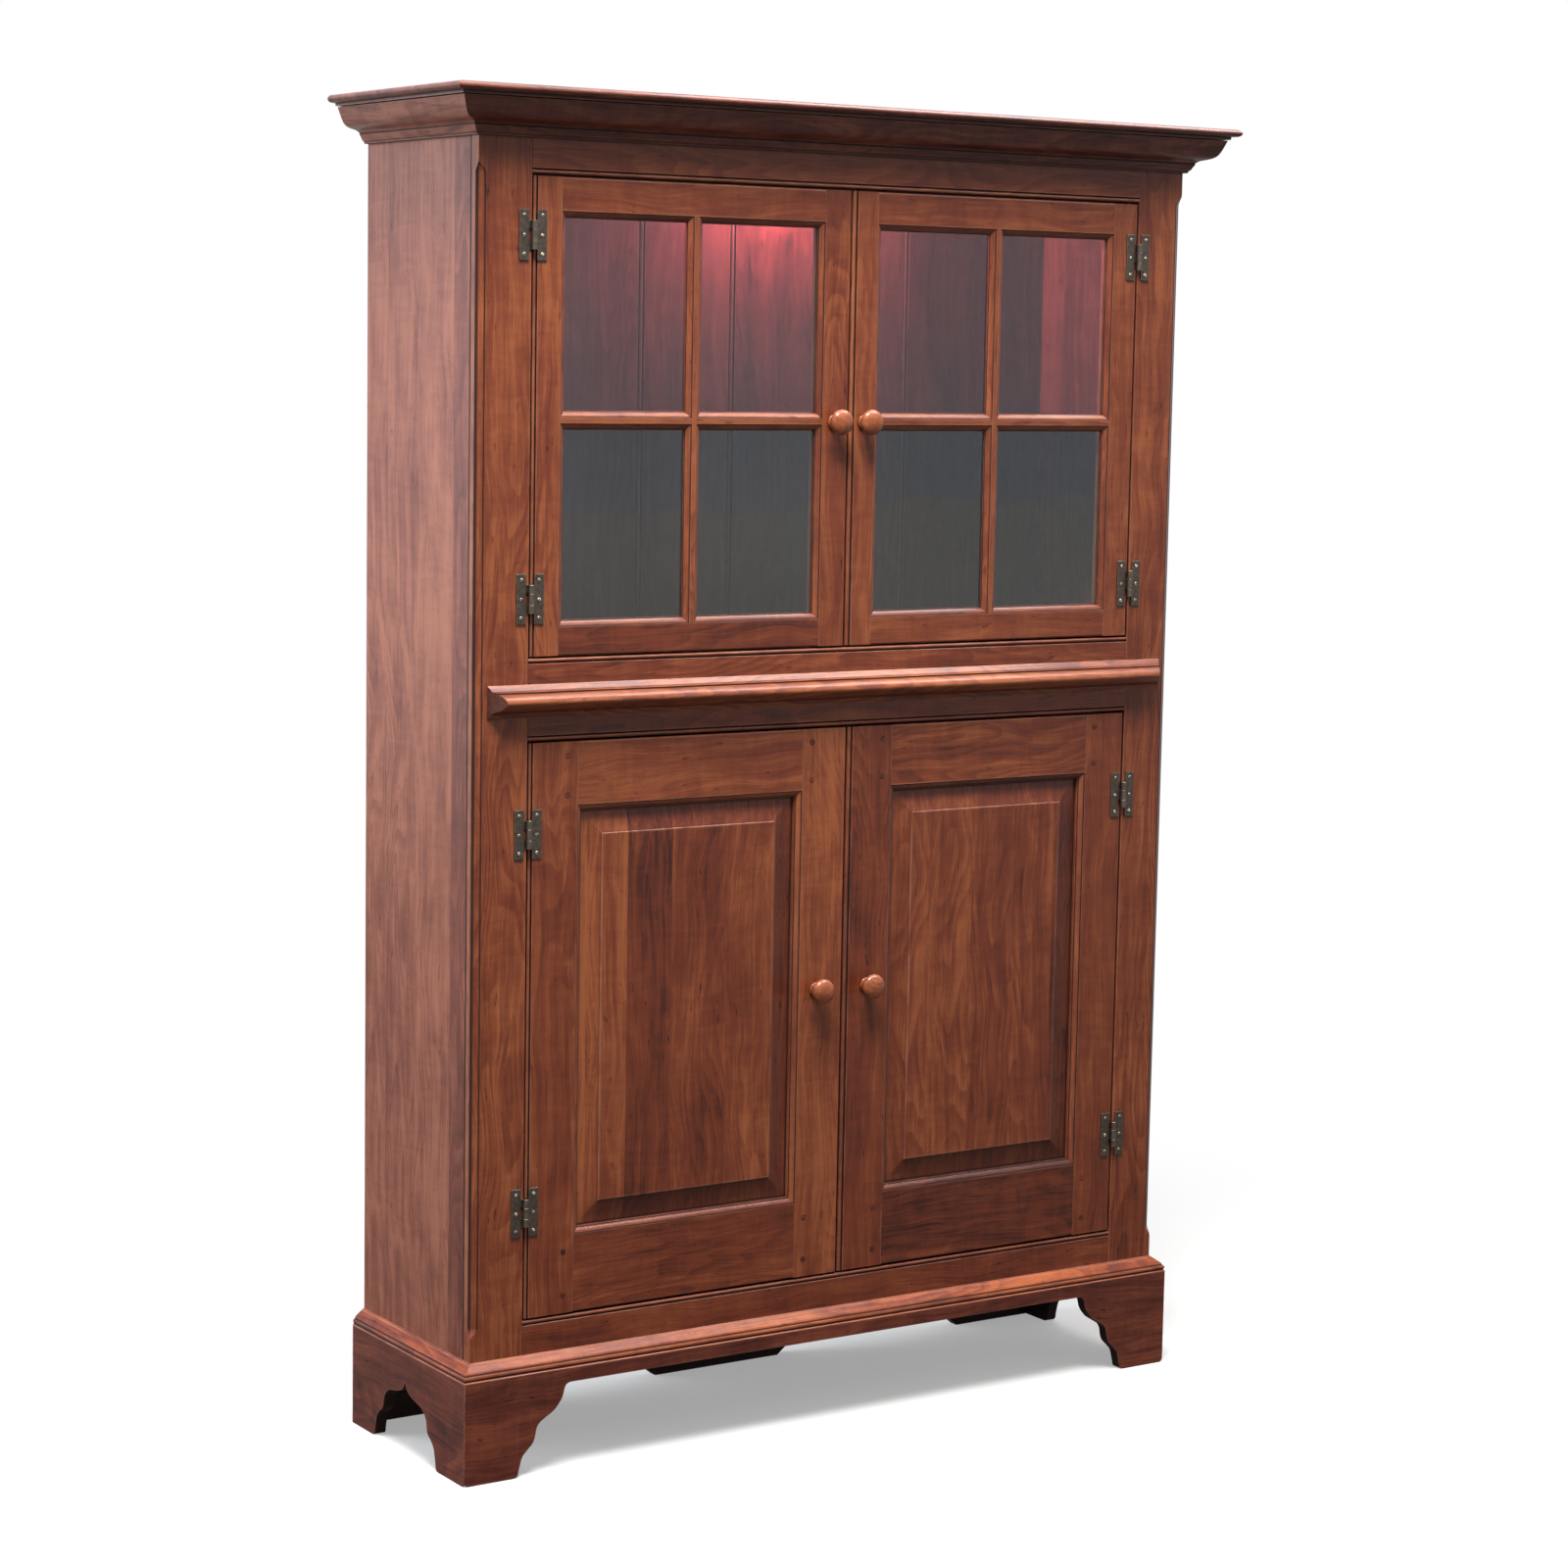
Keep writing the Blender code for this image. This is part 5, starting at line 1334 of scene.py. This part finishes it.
# %% [markdown]
# ## Stage, light and camera
# The floor and the air round the cupboard are white to the camera and to gloss. One large soft
# lamp hangs in front to the left and above, and another behind to the left, whose light slides
# along the side. The camera stands where the photographer stood.


# %% Floor
def rays(tree):
    """Whether a ray comes from the camera, and whether it comes from a glossy surface."""
    path = add_node(tree, "LightPath")
    seen = Value(path, "Is Camera Ray").most(Value(path, "Is Transmission Ray"))
    return seen, Value(path, "Is Glossy Ray")


bpy.ops.mesh.primitive_plane_add(size=60)
floor = bpy.context.object
floor.name = "floor"
tree, shader = new_material("floor")
seen, glossy = rays(tree)
fill(shader, {"Base Color": mixed(seen, (0.11, 0.10, 0.095), (0.86, 0.86, 0.86)),
              "Roughness": 0.9, "Specular IOR Level": 0.0})
white = add_node(tree, "Emission", {"Color": (1, 1, 1)})
length = Value(add_node(tree, "VectorMath", {0: own_place(tree)}, operation="LENGTH"), "Value")
away = length.spread(0.7, 2.6, 0.35, 1.0)
far = length.spread(1.5, 12.0, 0.24, 0.74)
blend_shaders(away * seen.most(glossy * far), shader, white)
floor.data.materials.append(MATERIALS["floor"])
floor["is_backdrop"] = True

# %% Air and lamps
world = bpy.data.worlds.new("studio")
bpy.context.scene.world = world
world.use_nodes = True
tree = world.node_tree
seen, glossy = rays(tree)
split = add_node(tree, "SeparateXYZ", {0: Value(add_node(tree, "TexCoord"), "Generated")})
ahead, height = Value(split, 1), Value(split, 2)
behind, horizon = ahead.spread(-0.75, 0.1, 0.86, 1.0), height.spread(0.0, 0.30, 0.84, 1.0)
overhead, upwards = height.spread(0.30, 0.90, 0.0, 0.5), height.spread(0.0, 0.9, 0.095, 0.60)
level = seen.most(glossy * (behind * horizon + overhead))
rest = (1.0 - seen.most(glossy)) * upwards
fill(tree.nodes["Background"], {"Strength": level + rest,
                                "Color": mixed(glossy, (1.0, 1.0, 1.0), (0.92, 0.96, 1.08))})


def add_lamp(name, kind, place, power, colour):
    """A lamp of one kind at a place, its power in watts."""
    data = bpy.data.lights.new(name, kind)
    data.energy, data.color = power, colour
    lamp = bpy.data.objects.new(name, data)
    bpy.context.scene.collection.objects.link(lamp)
    lamp.location = place
    return lamp


def soft_lamp(name, place, target, size, power, colour=(1, 1, 1)):
    """An area lamp, size by size across, turned towards a point."""
    lamp = add_lamp(name, "AREA", place, power, colour)
    lamp.data.shape = "RECTANGLE"
    lamp.data.size, lamp.data.size_y = size
    lamp.rotation_euler = (Vector(target) - Vector(place)).to_track_quat("-Z", "X").to_euler()
    return lamp


soft_lamp("key", (-1.3, -1.75, 5.4), (0, 0, 1.2), (1.6, 1.6), 410, (1.0, 0.97, 0.93))
soft_lamp("ceiling", (1.4, -0.2, 4.9), (0.2, -0.2, 1.2), (2.6, 1.2), 75, (1.0, 0.98, 0.96))
soft_lamp("side", (-4.2, 2.2, 2.0), (-0.6, 0, 1.1), (2.6, 2.6), 165, (0.90, 0.95, 1.0))
# A lamp for gloss alone: it shows as a bright line on every edge that faces up.
gloss = soft_lamp("gloss", (1.15, -0.65, 3.3), (1.15, -0.65, 1.2), (1.7, 1.1), 75)
gloss.rotation_euler = (0, 0, 0)
gloss.visible_diffuse = False
INNER_DOWN, INNER_POWER, INNER_RADIUS = 65 * MM, 12.0, 0.03
inner = add_lamp("cupboard_lamp", "POINT", (LAMP[0], LAMP[1], TOP - INNER_DOWN), INNER_POWER,
                 (1.0, 0.30, 0.48))
inner.data.shadow_soft_size = INNER_RADIUS

# %% Camera
CAMERA = Vector((-3.17047, -4.67121 + FACE, 1.74946))
YAW, PITCH, ROLL = 0.579860, -0.122320, 0.0180048
FOCAL_PIXELS, PICTURE_PIXELS, SENSOR = 3583.75, 1600, 36.0
forward = Vector((math.sin(YAW) * math.cos(PITCH), math.cos(YAW) * math.cos(PITCH),
                  math.sin(PITCH)))
right = Vector((math.cos(YAW), -math.sin(YAW), 0.0))
up = right.cross(forward)
rolled_right = right * math.cos(ROLL) + up * math.sin(ROLL)
rolled_up = up * math.cos(ROLL) - right * math.sin(ROLL)
camera = bpy.data.objects.new("camera", bpy.data.cameras.new("camera"))
bpy.context.scene.collection.objects.link(camera)
turn = Matrix((rolled_right, rolled_up, -forward)).transposed().to_4x4()
camera.matrix_world = Matrix.Translation(CAMERA) @ turn
camera.data.sensor_width = SENSOR
camera.data.lens = FOCAL_PIXELS / PICTURE_PIXELS * SENSOR
bpy.context.scene.camera = camera
bpy.context.scene.view_settings.view_transform = "Standard"

# %% Bounds of the shown pieces
low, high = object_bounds()
